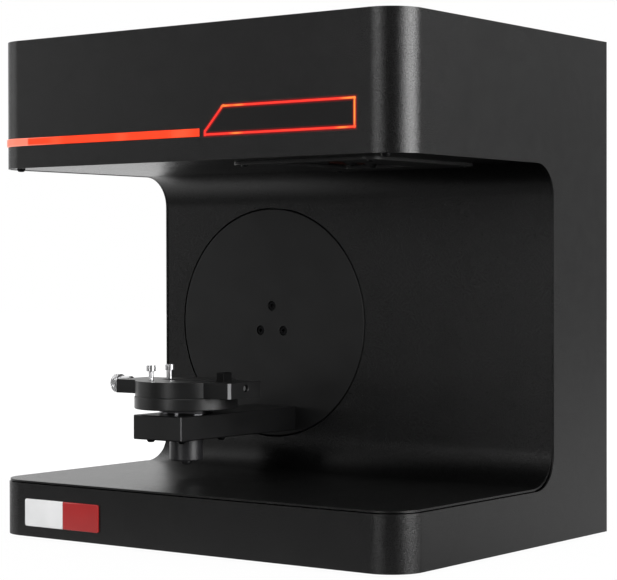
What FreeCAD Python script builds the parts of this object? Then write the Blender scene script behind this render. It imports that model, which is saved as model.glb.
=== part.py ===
import FreeCAD, Part
import math
import os
import Sketcher

# Desktop 3D scanner: a C-shaped cabinet whose back wall carries a tilting arm with a turntable
# and an object clamp, while a projector and two cameras look down from inside the head.
# Frame: X to the right, Y to the back, Z up, origin on the floor under the cabinet's centre.
# All sizes are millimetres.

SIZES = {
    # Cabinet, outside
    "cabinet_width": 400.0,
    "cabinet_depth": 300.0,
    "shell_height": 400.0,
    "head_height": 103.0,
    "base_height": 42.5,
    "column_depth": 86.5,
    "corner_radius": 27.0,
    "cutout_radius": 26.0,
    "wrap_sheet": 1.5,
    "seam": 0.5,
    "flange_width": 14.0,
    # Liner of the scan chamber
    "liner_sheet": 1.5,
    "liner_radius": 28.0,
    "base_rise": 2.3,
    "base_inset": 0.8,
    "liner_screw_inset": 20.0,
    "liner_screw_setback": 9.0,
    # Rear panel, its screws and vents
    "rear_sheet": 1.5,
    "rear_screw_inset": 8.0,
    "rear_screw_end": 24.0,
    "rear_head_radius": 3.0,
    "rear_head_height": 1.8,
    "vent_width": 3.2,
    "vent_pitch": 6.4,
    "vent_length": 46.0,
    "vent_inset": 135.0,
    "vent_drop": 53.0,
    # Feet
    "foot_height": 3.0,
    "foot_radius": 10.0,
    "foot_bevel": 0.8,
    "foot_inset": 40.0,
    # Light strip and lit sign frame on the head
    "strip_rise": 18.0,
    "strip_tall": 6.0,
    "strip_proud": 1.0,
    "strip_depth": 4.0,
    "strip_sign_gap": 4.4,
    "strip_split": 28.4,
    "strip_return": 40.0,
    "trim_gap": 0.2,
    "sign_inset": 38.2,
    "sign_width": 139.9,
    "sign_tall": 23.0,
    "sign_rise": 4.0,
    "sign_slant": 17.7,
    "sign_line": 2.3,
    "sign_corner": 2.0,
    "sign_depth": 3.5,
    "sign_plate_sheet": 2.0,
    # Two badge tiles on the base
    "badge_inset": 34.3,
    "badge_width": 79.9,
    "badge_split": 41.7,
    "badge_rise": 8.5,
    "badge_tall": 22.1,
    "badge_sheet": 1.4,
    "badge_corner": 1.8,
    # Tilt axis and the disc in the wall
    "tilt_offset": 80.0,
    "tilt_height": 172.0,
    "disc_radius": 98.3,
    "disc_gap": 1.0,
    "disc_sheet": 8.0,
    "disc_bevel": 0.6,
    "disc_screw_circle": 28.6,
    "cap_head_radius": 3.5,
    "cap_head_height": 4.0,
    "cap_shank_radius": 2.0,
    "cap_socket": 3.0,
    "cap_socket_depth": 2.0,
    "counterbore_radius": 4.1,
    "counterbore_depth": 4.6,
    # Tilt shaft, bearings, gear and motor
    "shaft_radius": 10.0,
    "shaft_flange_radius": 24.0,
    "shaft_flange_sheet": 6.0,
    "shaft_nut_radius": 15.0,
    "shaft_nut_width": 4.5,
    "tilt_bearing_radius": 16.0,
    "tilt_bearing_width": 7.0,
    "tilt_race": 2.0,
    "tilt_shoulder": 3.0,
    "housing_reach": 3.5,
    "housing_radius": 22.0,
    "housing_length": 35.5,
    "housing_flange_radius": 35.0,
    "housing_flange_sheet": 4.0,
    "housing_screw_circle": 57.0,
    "gear_module": 1.5,
    "gear_width": 6.0,
    "pinion_width": 7.0,
    "gear_backlash": 0.24,
    "running_gap": 0.05,
    "motor_side": 42.3,
    "motor_length": 38.0,
    "motor_bevel": 4.0,
    "motor_pilot_radius": 11.0,
    "motor_pilot_height": 2.0,
    "motor_shaft_radius": 2.5,
    "motor_screw_spacing": 31.0,
    "small_screw_radius": 1.5,
    # Steel frame in the column
    "frame_sheet": 3.0,
    "frame_setback": 20.0,
    "frame_lip": 12.0,
    "frame_foot": 20.0,
    "frame_top_gap": 7.0,
    "frame_window_width": 260.0,
    "frame_window_height": 60.0,
    "frame_window_low": 12.0,
    # Arm
    "arm_width": 51.2,
    "arm_thick": 20.0,
    "arm_drop": 72.0,
    "arm_front": 36.6,
    "arm_edge": 0.8,
    "arm_wall": 2.2,
    "arm_rebate": 2.0,
    "arm_top_wall": 5.0,
    "arm_root": 10.0,
    "arm_cover_sheet": 2.0,
    "arm_screw_x": 33.0,
    "arm_screw_y": 49.8,
    "button_radius": 3.4,
    "button_height": 2.8,
    "button_shank_radius": 1.5,
    "button_shank_length": 6.0,
    "post_boss_radius": 3.6,
    "arm_bolt_spacing": 28.0,
    "arm_bolt_drop": 82.0,
    "arm_bolt_radius": 2.5,
    "arm_bolt_head_radius": 4.2,
    "arm_bolt_head_height": 5.0,
    "arm_bolt_length": 16.0,
    # Turntable
    "table_shift": 8.0,
    "table_bearing_radius": 10.5,
    "table_bearing_width": 5.0,
    "table_race": 1.4,
    "spindle_radius": 6.0,
    "boss_radius": 15.0,
    "steel_ring_radius": 22.0,
    "steel_ring_height": 4.0,
    "steel_ring_bevel": 0.5,
    "table_gap": 0.3,
    "table_radius": 42.4,
    "table_height": 10.2,
    "table_bevel": 0.6,
    "spindle_entry": 7.7,
    "table_motor_radius": 13.6,
    "table_motor_height": 18.5,
    "table_motor_bevel": 1.0,
    "table_motor_hub_radius": 4.8,
    "table_motor_hub": 3.4,
    "table_motor_hub_bevel": 1.8,
    "table_motor_shaft_radius": 2.5,
    "table_motor_shaft_length": 16.0,
    # Object clamp
    "clamp_height": 12.7,
    "clamp_radius": 41.8,
    "clamp_length": 122.6,
    "clamp_shift": 1.6,
    "clamp_width": 42.0,
    "clamp_step": 1.5,
    "clamp_bevel": 2.0,
    "channel_width": 11.2,
    "channel_floor": 2.0,
    "channel_left": 22.0,
    "channel_right": 47.0,
    "screw_radius": 3.0,
    "screw_height": 7.9,
    "screw_tip_radius": 2.2,
    "screw_tip_length": 8.0,
    "end_hole_radius": 3.1,
    "jaw_width": 10.8,
    "jaw_thick": 7.2,
    "jaw_offset": 36.7,
    "jaw_rise": 7.6,
    "jaw_slide_gap": 0.2,
    "jaw_bevel": 0.6,
    "post_offset": 27.7,
    "post_spacing": 23.6,
    "post_height": 11.7,
    "post_head_radius": 3.9,
    "post_head_height": 4.7,
    "post_depth": 8.0,
    "knob_radius": 8.0,
    "knob_length": 6.2,
    "knob_ridge": 0.35,
    "knob_hub_radius": 6.3,
    "knob_hub_length": 10.8,
    # Optics in the head
    "bezel_left_border": 34.5,
    "bezel_right_border": 38.0,
    "bezel_back_border": 34.0,
    "bezel_front": 39.0,
    "bezel_sheet": 2.3,
    "bezel_corner": 12.0,
    "bezel_bevel": 0.4,
    "bezel_screw_inset": 9.0,
    "bezel_head_radius": 2.6,
    "bezel_head_height": 1.1,
    "port_reach": 24.0,
    "port_width": 64.0,
    "port_depth": 100.0,
    "port_corner": 4.0,
    "optics_reach": 152.0,
    "lens_setback": 8.0,
    "bracket_rise": 41.0,
    "camera_spread": 30.2,
    "bracket_sheet": 3.0,
    "bracket_half": 27.0,
    "bracket_wing": 22.0,
    "cheek_sheet": 2.0,
    "cheek_top": 13.0,
    "bracket_foot_width": 12.0,
    "bracket_foot_run": 28.0,
    "bracket_foot_rise": 25.0,
    "projector_width": 40.0,
    "projector_tall": 50.0,
    "projector_length": 44.0,
    "projector_fin": 2.0,
    "projector_lens_radius": 14.0,
    "camera_side": 29.0,
    "camera_length": 35.0,
    "camera_lens_radius": 12.5,
    "lens_rim": 2.2,
    "lens_recess": 4.0,
    "lens_glass": 3.0,
    "lens_step": 12.0,
    "lens_gap": 0.3,
    # Power, ports and boards
    "port_row_height": 26.0,
    "inlet_inset": 50.0,
    "inlet_flange_width": 31.0,
    "inlet_flange_tall": 24.0,
    "inlet_flange_sheet": 1.6,
    "inlet_body_width": 27.0,
    "inlet_body_tall": 19.8,
    "inlet_body_length": 22.0,
    "inlet_cavity_width": 24.0,
    "inlet_cavity_tall": 16.2,
    "inlet_cavity_depth": 16.0,
    "inlet_cavity_bevel": 4.0,
    "inlet_pin_width": 2.0,
    "inlet_pin_tall": 4.0,
    "inlet_pin_spacing": 14.0,
    "inlet_pin_stagger": 4.0,
    "inlet_pin_recess": 4.8,
    "switch_spacing": 35.0,
    "switch_flange_width": 15.0,
    "switch_flange_tall": 21.0,
    "switch_body_width": 13.0,
    "switch_body_tall": 18.8,
    "switch_body_length": 12.0,
    "rocker_width": 10.2,
    "rocker_tall": 14.0,
    "rocker_thick": 4.6,
    "rocker_dip": 0.9,
    "rocker_gap": 0.25,
    "rocker_well": 9.0,
    "rocker_pin_radius": 1.0,
    "rocker_pin_reach": 0.9,
    "usb_spacing": 31.0,
    "usb_width": 12.0,
    "usb_tall": 11.0,
    "usb_wall": 0.6,
    "usb_length": 16.0,
    "usb_tongue_width": 5.6,
    "usb_tongue_tall": 3.2,
    "port_gap": 0.2,
    "board_width": 130.0,
    "board_depth": 96.0,
    "board_sheet": 1.6,
    "board_inset": 35.0,
    "board_front": 40.0,
    "standoff_height": 8.0,
    "standoff_radius": 3.0,
    "standoff_inset": 5.0,
    "chip_side": 16.0,
    "chip_height": 2.2,
    "plug_width": 12.0,
    "plug_height": 8.0,
    "supply_width": 110.0,
    "supply_depth": 78.0,
    "supply_height": 32.0,
    "supply_gap": 40.0,
    "supply_front": 30.0,
    "supply_bevel": 2.0,
    "overrun": 5.0,
}

GEAR_TEETH = 90
PINION_TEETH = 15
PRESSURE_ANGLE = 20.0
VENT_COUNT = 10
KNOB_RIDGES = 36
OPTICS_ANGLE = 45.0
SLANT = math.sqrt(0.5)
ROCKER_ANGLE = 8.0
REAR_SCREW_SHARES = (0.0, 0.34, 0.67, 1.0)
CHIP_SHARES = ((0.3, 0.35), (0.62, 0.4), (0.45, 0.7))
PLUG_SHARES = (0.2, 0.45, 0.7)

doc = FreeCAD.newDocument("desktop_scanner")
sheet = doc.addObject("Spreadsheet::Sheet", "sizes")
for row, (alias, number) in enumerate(SIZES.items(), start=1):
    sheet.set("A%d" % row, alias)
    sheet.set("B%d" % row, str(number))
    sheet.setAlias("B%d" % row, alias)
doc.recompute()


class Length:
    """A number together with the spreadsheet expression that it comes from."""

    def __init__(self, value, text):
        self.value = value
        self.text = text

    def __add__(self, other):
        other = as_length(other)
        return Length(self.value + other.value, "(%s + %s)" % (self.text, other.text))

    def __sub__(self, other):
        other = as_length(other)
        return Length(self.value - other.value, "(%s - %s)" % (self.text, other.text))

    def __mul__(self, other):
        other = as_length(other)
        return Length(self.value * other.value, "(%s * %s)" % (self.text, other.text))

    def __truediv__(self, other):
        other = as_length(other)
        return Length(self.value / other.value, "(%s / %s)" % (self.text, other.text))

    def __neg__(self):
        return Length(-self.value, "(0 - %s)" % self.text)

    def __radd__(self, other):
        return as_length(other) + self

    def __rsub__(self, other):
        return as_length(other) - self

    def __rmul__(self, other):
        return as_length(other) * self


def as_length(number):
    """A Length stays as it is, and a plain number becomes one."""
    if isinstance(number, Length):
        return number
    return Length(float(number), "%.12f" % number)


def hypotenuse(a, b):
    """The long side over two square sides."""
    return Length(math.hypot(a.value, b.value), "hypot(%s; %s)" % (a.text, b.text))


class Dimensions:
    """The sheet's cells as Lengths, read by name."""

    def __getattr__(self, alias):
        return Length(float(SIZES[alias]), "sizes." + alias)


def cell(alias):
    """A size read from the sheet, for the shapes that are made in code."""
    return float(sheet.get(alias))


dim = Dimensions()
ZERO = as_length(0)
NORMAL_SIGN = {"XY": 1, "XZ": -1, "YZ": 1}


def bind(thing, path, length):
    """Tie one property of an object to the sheet."""
    thing.setExpression(path, as_length(length).text)


def place(thing, x=ZERO, y=ZERO, z=ZERO, turn=None):
    """Put an object at a point of the row's frame, turned about one axis or by a rotation."""
    rotation = turn or FreeCAD.Rotation()
    point = FreeCAD.Vector(as_length(x).value, as_length(y).value, as_length(z).value)
    thing.Placement = FreeCAD.Placement(point, rotation)
    for axis, length in (("x", x), ("y", y), ("z", z)):
        bind(thing, "Placement.Base." + axis, length)


def turned_about(axis, degrees):
    """A rotation about a coordinate axis."""
    return FreeCAD.Rotation(FreeCAD.Vector(*axis), degrees)


# Local Z of a turned piece along the row's +Y, -Y, +X and -X
ALONG_Y = turned_about((1, 0, 0), -90)
AGAINST_Y = turned_about((1, 0, 0), 90)
ALONG_X = turned_about((0, 1, 0), 90)
AGAINST_X = turned_about((0, 1, 0), -90)
DOWNWARDS = turned_about((1, 0, 0), 180)


def corner_tangents(before, at, after, radius):
    """Where a rounding of this radius touches the two sides of a corner, and its centre."""
    back = (before - at).normalize()
    ahead = (after - at).normalize()
    half = back.getAngle(ahead) / 2
    reach = radius / math.tan(half)
    bisector = (back + ahead).normalize()
    centre = at + bisector * (radius / math.sin(half))
    return at + back * reach, at + ahead * reach, centre


class Outline:
    """A closed run of straight sides in a sketch, with rounded corners where a radius is given."""

    def __init__(self, sketch, corners):
        self.sketch = sketch
        self.corners = [tuple(as_length(part) for part in corner) for corner in corners]
        self.points = [FreeCAD.Vector(c[0].value, c[1].value, 0) for c in self.corners]
        self.draw()

    def fix(self, geometry, vertex, corner):
        """Hold a vertex at its corner's named place."""
        for kind, length in (("DistanceX", corner[0]), ("DistanceY", corner[1])):
            if abs(length.value) < 1e-9:
                axis = -2 if kind == "DistanceX" else -1
                self.sketch.addConstraint(Sketcher.Constraint("PointOnObject", geometry, vertex, axis))
                continue
            rule = Sketcher.Constraint(kind, -1, 1, geometry, vertex, length.value)
            index = self.sketch.addConstraint(rule)
            bind(self.sketch, "Constraints[%d]" % index, length)

    def draw(self):
        count = len(self.corners)
        starts = list(self.points)
        ends = list(self.points)
        centres = {}
        for i, corner in enumerate(self.corners):
            if len(corner) > 2:
                before = self.points[i - 1]
                after = self.points[(i + 1) % count]
                found = corner_tangents(before, self.points[i], after, corner[2].value)
                ends[i], starts[i], centres[i] = found
        sides = []
        for i in range(count):
            segment = Part.LineSegment(starts[i], ends[(i + 1) % count])
            sides.append(self.sketch.addGeometry(segment, False))
        for i, corner in enumerate(self.corners):
            arriving = sides[i - 1]
            leaving = sides[i]
            if i not in centres:
                self.sketch.addConstraint(Sketcher.Constraint("Coincident", arriving, 2, leaving, 1))
                self.fix(leaving, 1, corner)
                continue
            self.round_corner(corner, self.points[i], (ends[i], starts[i], centres[i]), arriving, leaving)

    def round_corner(self, corner, point, found, arriving, leaving):
        first, last, centre = found
        a = first - centre
        b = last - centre
        counter = a.x * b.y - a.y * b.x > 0
        begin, finish = (a, b) if counter else (b, a)
        angle_0 = math.atan2(begin.y, begin.x)
        angle_1 = math.atan2(finish.y, finish.x)
        circle = Part.Circle(centre, FreeCAD.Vector(0, 0, 1), corner[2].value)
        arc = self.sketch.addGeometry(Part.ArcOfCircle(circle, angle_0, angle_1), False)
        near, far = (1, 2) if counter else (2, 1)
        self.sketch.addConstraint(Sketcher.Constraint("Tangent", arriving, 2, arc, near))
        self.sketch.addConstraint(Sketcher.Constraint("Tangent", arc, far, leaving, 1))
        index = self.sketch.addConstraint(Sketcher.Constraint("Radius", arc, corner[2].value))
        bind(self.sketch, "Constraints[%d]" % index, corner[2])
        mark = self.sketch.addGeometry(Part.Point(point), True)
        self.sketch.addConstraint(Sketcher.Constraint("PointOnObject", mark, 1, arriving))
        self.sketch.addConstraint(Sketcher.Constraint("PointOnObject", mark, 1, leaving))
        self.fix(mark, 1, corner)


def draw_circle(sketch, x, y, radius):
    """A circle in a sketch at a named place."""
    x, y, radius = as_length(x), as_length(y), as_length(radius)
    shape = Part.Circle(FreeCAD.Vector(x.value, y.value, 0), FreeCAD.Vector(0, 0, 1), radius.value)
    geometry = sketch.addGeometry(shape, False)
    for kind, length in (("DistanceX", x), ("DistanceY", y)):
        if abs(length.value) < 1e-9:
            axis = -2 if kind == "DistanceX" else -1
            sketch.addConstraint(Sketcher.Constraint("PointOnObject", geometry, 3, axis))
            continue
        index = sketch.addConstraint(Sketcher.Constraint(kind, -1, 1, geometry, 3, length.value))
        bind(sketch, "Constraints[%d]" % index, length)
    index = sketch.addConstraint(Sketcher.Constraint("Radius", geometry, radius.value))
    bind(sketch, "Constraints[%d]" % index, radius)


def rectangle(x0, x1, y0, y1, radius=None):
    """The four corners between two pairs of named places."""
    corners = [(x0, y0), (x1, y0), (x1, y1), (x0, y1)]
    if radius is None:
        return corners
    return [corner + (radius,) for corner in corners]


def circle(x, y, radius):
    """A round outline, told from a list of corners by its type."""
    return {"x": x, "y": y, "radius": radius}


class Piece:
    """One PartDesign body made of sketches that are padded, pocketed or revolved."""

    def __init__(self, label):
        self.label = label
        self.body = doc.addObject("PartDesign::Body", label)
        self.body.Label = label
        self.count = 0

    def plane(self, name):
        role = name + "_Plane"
        return next(f for f in self.body.Origin.OriginFeatures if f.Role == role)

    def sketch(self, plane, outlines, offset=ZERO):
        self.count += 1
        drawn = self.body.newObject("Sketcher::SketchObject", "%s_sketch_%d" % (self.label, self.count))
        drawn.AttachmentSupport = (self.plane(plane), [""])
        drawn.MapMode = "FlatFace"
        along = offset if NORMAL_SIGN[plane] > 0 else -offset
        drawn.AttachmentOffset = FreeCAD.Placement(FreeCAD.Vector(0, 0, along.value), FreeCAD.Rotation())
        bind(drawn, "AttachmentOffset.Base.z", along)
        for outline in outlines:
            if isinstance(outline, dict):
                draw_circle(drawn, outline["x"], outline["y"], outline["radius"])
            else:
                Outline(drawn, outline)
        return drawn

    def feature(self, kind, sketch, length):
        made = self.body.newObject("PartDesign::" + kind, "%s_%s_%d" % (self.label, kind.lower(), self.count))
        made.Profile = sketch
        made.Length = length.value
        bind(made, "Length", length)
        sketch.Visibility = False
        return made

    def pad(self, plane, outlines, low, high):
        """Add material between two places along the plane's normal axis."""
        low, high = as_length(low), as_length(high)
        start = low if NORMAL_SIGN[plane] > 0 else high
        self.feature("Pad", self.sketch(plane, outlines, start), high - low)
        return self

    def pocket(self, plane, outlines, low, high):
        """Take material away between two places along the plane's normal axis."""
        low, high = as_length(low), as_length(high)
        start = high if NORMAL_SIGN[plane] > 0 else low
        before = self.volume()
        self.feature("Pocket", self.sketch(plane, outlines, start), high - low)
        if self.volume() >= before:
            raise ValueError("a pocket in %s cuts nothing" % self.label)
        return self

    def revolve(self, corners):
        """Turn a profile of (radius, height) corners about the body's Z axis."""
        sketch = self.sketch("XZ", [corners])
        made = self.body.newObject("PartDesign::Revolution", self.label + "_turned")
        made.Profile = sketch
        made.ReferenceAxis = (sketch, ["V_Axis"])
        made.Angle = 360
        sketch.Visibility = False
        return self

    def volume(self):
        doc.recompute()
        return self.body.Tip.Shape.Volume

    def edges(self, test):
        """Names of the tip's edges that pass a test of midpoint and direction."""
        doc.recompute()
        names = []
        for i, edge in enumerate(self.body.Tip.Shape.Edges, start=1):
            middle = edge.valueAt((edge.FirstParameter + edge.LastParameter) / 2)
            ends = [vertex.Point for vertex in edge.Vertexes]
            run = (ends[-1] - ends[0]) if len(ends) > 1 else FreeCAD.Vector()
            if test(middle, run):
                names.append("Edge%d" % i)
        if not names:
            raise ValueError("no edge of %s matches" % self.label)
        return names

    def dress(self, kind, names, size):
        base = self.body.Tip
        made = self.body.newObject("PartDesign::" + kind, "%s_%s" % (self.label, kind.lower()))
        made.Base = (base, names)
        path = "Radius" if kind == "Fillet" else "Size"
        setattr(made, path, size.value)
        bind(made, path, size)
        base.Visibility = False
        return self

    def fillet(self, test, radius):
        return self.dress("Fillet", self.edges(test), radius)

    def chamfer(self, test, size):
        return self.dress("Chamfer", self.edges(test), size)

    def repeat_along(self, axis, count, span):
        """Repeat the last pad or pocket in a row."""
        original = self.body.Tip
        made = self.body.newObject("PartDesign::LinearPattern", self.label + "_row")
        made.Originals = [original]
        direction = next(f for f in self.body.Origin.OriginFeatures if f.Role == axis + "_Axis")
        made.Direction = (direction, [""])
        made.Occurrences = count
        made.Length = span.value
        bind(made, "Length", span)
        self.body.Tip = made
        return self


def near(value, length):
    """Whether a coordinate is at a named place."""
    return abs(value - as_length(length).value) < 1e-4


nodes = {}


def keep(label, thing):
    """Record an object as the node that is written under this name."""
    thing.Label = label
    nodes[label] = thing
    return thing


def turned(label, corners, x=ZERO, y=ZERO, z=ZERO, turn=None):
    """A turned body placed with its axis through a point."""
    piece = Piece(label)
    piece.revolve(corners)
    place(piece.body, x, y, z, turn)
    return piece


def gather(label, things):
    """Several separate solids in one node."""
    group = doc.addObject("Part::Compound", label)
    group.Links = [thing.body if isinstance(thing, Piece) else thing for thing in things]
    return keep(label, group)


def hexagon(across):
    """A socket's six corners, from its width across flats."""
    reach = across / math.sqrt(3)
    angles = [math.radians(60 * i) for i in range(6)]
    return [(reach * math.cos(a), reach * math.sin(a)) for a in angles]


def cap_screw(name, length, x, y, z, turn=None, head=None, tall=None):
    """A socket cap screw whose head sits above local zero and whose shank goes below it."""
    d = dim
    head = head or d.cap_head_radius
    tall = tall or d.cap_head_height
    profile = [
        (ZERO, -length),
        (d.cap_shank_radius, -length),
        (d.cap_shank_radius, ZERO),
        (head, ZERO),
        (head, tall),
        (ZERO, tall),
    ]
    piece = turned(name, profile, x, y, z, turn)
    piece.pocket("XY", [hexagon(d.cap_socket)], tall - d.cap_socket_depth, tall)
    return piece


def dome_screw(name, head, height, shank, length, x, y, z, turn=None):
    """A round-headed screw whose head sits above local zero."""
    profile = [
        (ZERO, -length),
        (shank, -length),
        (shank, ZERO),
        (head, ZERO),
        (head, height * 0.35),
        (head * 0.72, height),
        (ZERO, height),
    ]
    return turned(name, profile, x, y, z, turn)


# Places that several pieces share
half_width = dim.cabinet_width / 2
half_depth = dim.cabinet_depth / 2
shell_bottom = dim.foot_height
shell_top = dim.foot_height + dim.shell_height
head_under = shell_top - dim.head_height
base_top = shell_bottom + dim.base_height
wrap_inner_x = half_width - dim.wrap_sheet
wrap_inner_y = half_depth - dim.wrap_sheet
rear_inside = half_depth - dim.rear_sheet
cut_wall = half_depth - dim.column_depth
wall_face = cut_wall + dim.seam
wall_back = wall_face + dim.liner_sheet
head_face = head_under + dim.seam
head_plate_top = head_face + dim.liner_sheet
base_face = base_top + dim.base_rise
base_plate_under = base_face - dim.liner_sheet
liner_half = wrap_inner_x - dim.seam
liner_front = -(wrap_inner_y - dim.seam)
inside_corner = dim.corner_radius - dim.wrap_sheet
liner_corner = inside_corner - dim.seam
plate_gap = dim.trim_gap
bottom_inside = shell_bottom + dim.wrap_sheet
tilt_x = -dim.tilt_offset
tilt_z = dim.tilt_height
table_y = (wall_face - half_depth) / 2 - dim.table_shift
over = dim.overrun
strip_low = head_under + dim.strip_rise
strip_top = strip_low + dim.strip_tall
sign_right = half_width - dim.sign_inset
sign_left = sign_right - dim.sign_width
strip_end = sign_left - dim.strip_sign_gap
port_x0 = tilt_x + dim.optics_reach - dim.port_reach
port_x1 = port_x0 + dim.port_width
port_y0 = table_y - dim.port_depth / 2
port_y1 = port_y0 + dim.port_depth
inlet_x = half_width - dim.inlet_inset
switch_x = inlet_x - dim.switch_spacing
usb_x = switch_x - dim.usb_spacing


def make_wrap():
    """Front and side panels, bent from one sheet and cut out round the scan chamber."""
    d = dim
    plan = [
        (-half_width, rear_inside),
        (-half_width, -half_depth, d.corner_radius),
        (half_width, -half_depth, d.corner_radius),
        (half_width, rear_inside),
        (wrap_inner_x, rear_inside),
        (wrap_inner_x, -wrap_inner_y, inside_corner),
        (-wrap_inner_x, -wrap_inner_y, inside_corner),
        (-wrap_inner_x, rear_inside),
    ]
    wrap = Piece("outer_wrap")
    wrap.pad("XY", [plan], shell_bottom, shell_top)
    lip_front = rear_inside - d.wrap_sheet
    lip_end = half_width - d.flange_width
    lips = [
        rectangle(-wrap_inner_x, -lip_end, lip_front, rear_inside),
        rectangle(lip_end, wrap_inner_x, lip_front, rear_inside),
    ]
    lip_low = bottom_inside + d.seam
    lip_high = shell_top - d.wrap_sheet - d.seam
    wrap.pad("XY", lips, lip_low, lip_high)
    window = [
        (-half_depth - over, base_top),
        (cut_wall, base_top, d.cutout_radius),
        (cut_wall, head_under, d.cutout_radius),
        (-half_depth - over, head_under),
    ]
    wrap.pocket("YZ", [window], -half_width - over, half_width + over)
    slot = rectangle(
        -half_width - over,
        strip_end + plate_gap,
        -half_depth - over,
        -half_depth + d.strip_return + plate_gap,
    )
    wrap.pocket("XY", [slot], strip_low - plate_gap, strip_top + plate_gap)
    wrap.pocket("XZ", [sign_outline(-plate_gap)], -half_depth - over, -wrap_inner_y + over)
    screws = [circle(x, z, d.small_screw_radius + d.running_gap) for x, z in rear_screw_places()]
    wrap.pocket("XZ", screws, lip_front - d.seam, rear_inside + d.seam)
    keep("outer_wrap", wrap.body)


def sign_outline(inset):
    """The lit frame's outline, moved inwards by a distance."""
    d = dim
    inset = as_length(inset)
    rise = d.sign_tall - d.sign_rise
    slope = hypotenuse(d.sign_slant, rise)
    slant_low = strip_low + d.sign_rise + inset * (rise - slope) / d.sign_slant
    slant_high = sign_left + d.sign_slant + inset * (slope - d.sign_slant) / rise
    left = sign_left + inset
    right = sign_right - inset
    bottom = strip_low + inset
    top = strip_low + d.sign_tall - inset
    radius = d.sign_corner - inset * 0.5
    return [
        (left, bottom),
        (right, bottom, radius),
        (right, top, radius),
        (slant_high, top),
        (left, slant_low),
    ]


def rear_screw_places():
    """Centres of the rear panel's screws, down both side flanges."""
    d = dim
    low = shell_bottom + d.rear_screw_end
    span = d.shell_height - d.rear_screw_end * 2
    side = half_width - d.rear_screw_inset
    return [(x, low + span * share) for x in (-side, side) for share in REAR_SCREW_SHARES]


def make_liner():
    """The C-shaped inner skin: base top, back wall and the head's underside in one sheet."""
    d = dim
    outer_radius = d.liner_radius + d.liner_sheet
    profile = [
        (liner_front, base_face),
        (wall_face, base_face, d.liner_radius),
        (wall_face, head_face, d.liner_radius),
        (liner_front, head_face),
        (liner_front, head_plate_top),
        (wall_back, head_plate_top, outer_radius),
        (wall_back, base_plate_under, outer_radius),
        (liner_front, base_plate_under),
    ]
    liner = Piece("inner_liner")
    liner.pad("YZ", [profile], -liner_half, liner_half)

    def front_corner(middle, run):
        at_side = near(abs(middle.x), liner_half) and near(middle.y, liner_front)
        return at_side and abs(run.z) > 0.1

    liner.fillet(front_corner, liner_corner)
    rim_x = half_width - d.base_inset
    rim_y = half_depth - d.base_inset
    rim_radius = d.corner_radius - d.base_inset
    rim = [
        (-rim_x, wall_face - d.liner_radius),
        (-rim_x, -rim_y, rim_radius),
        (rim_x, -rim_y, rim_radius),
        (rim_x, wall_face - d.liner_radius),
    ]
    liner.pad("XY", [rim], base_plate_under, base_face)
    hole = circle(tilt_x, tilt_z, d.disc_radius + d.disc_gap)
    liner.pocket("XZ", [hole], wall_face - over, wall_back + over)
    liner.pocket("XY", [port_outline()], head_face - over, head_plate_top + over)
    side_x = half_width - d.liner_screw_inset
    screw_y = -wrap_inner_y + d.liner_screw_setback
    holes = [circle(x, screw_y, d.small_screw_radius + plate_gap) for x in (-side_x, side_x)]
    liner.pocket("XY", holes, head_face - over, head_plate_top + over)
    keep("inner_liner", liner.body)
    screws = [
        dome_screw("liner_screw_%d" % i, d.button_radius, d.button_height, d.small_screw_radius,
                   d.button_shank_length, x, screw_y, head_face, DOWNWARDS)
        for i, x in enumerate((-side_x, side_x))
    ]
    gather("liner_screws", screws)


def port_outline():
    """The opening in the head's underside through which the optics look."""
    return rectangle(port_x0, port_x1, port_y0, port_y1, dim.port_corner)


def make_covers():
    """Top cover, bottom plate and rear panel."""
    d = dim
    side = wrap_inner_x - plate_gap
    front = -(wrap_inner_y - plate_gap)
    radius = inside_corner - plate_gap
    plan = [(-side, rear_inside), (-side, front, radius), (side, front, radius), (side, rear_inside)]
    top = Piece("top_cover")
    top.pad("XY", [plan], shell_top - d.wrap_sheet, shell_top)
    keep("top_cover", top.body)
    bottom = Piece("bottom_plate")
    bottom.pad("XY", [plan], shell_bottom, bottom_inside)
    keep("bottom_plate", bottom.body)
    rear = Piece("rear_panel")
    rear.pad("XZ", [rectangle(-half_width, half_width, shell_bottom, shell_top)], rear_inside, half_depth)
    span = d.vent_pitch * (VENT_COUNT - 1)
    end = d.vent_width / 2 * 0.98
    first = half_width - d.vent_inset - span / 2
    middle = shell_top - d.vent_drop
    slot = rectangle(first - d.vent_width / 2, first + d.vent_width / 2,
                     middle - d.vent_length / 2, middle + d.vent_length / 2, end)
    rear.pocket("XZ", [slot], rear_inside - over, half_depth + over)
    rear.repeat_along("X", VENT_COUNT, span)
    z = d.port_row_height
    gap = plate_gap
    cut_outs = [
        rectangle(x - w / 2 - gap, x + w / 2 + gap, z - t / 2 - gap, z + t / 2 + gap)
        for x, w, t in (
            (inlet_x, d.inlet_body_width, d.inlet_body_tall),
            (switch_x, d.switch_body_width, d.switch_body_tall),
            (usb_x, d.usb_width, d.usb_tall),
        )
    ]
    rear.pocket("XZ", cut_outs, rear_inside - over, half_depth + over)
    screws = [circle(x, h, d.small_screw_radius + d.running_gap) for x, h in rear_screw_places()]
    rear.pocket("XZ", screws, rear_inside - over, half_depth + over)
    keep("rear_panel", rear.body)
    heads = [
        dome_screw("rear_screw_%d" % i, d.rear_head_radius, d.rear_head_height, d.small_screw_radius,
                   d.button_shank_length, x, half_depth, h, ALONG_Y)
        for i, (x, h) in enumerate(rear_screw_places())
    ]
    gather("rear_screws", heads)


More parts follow.
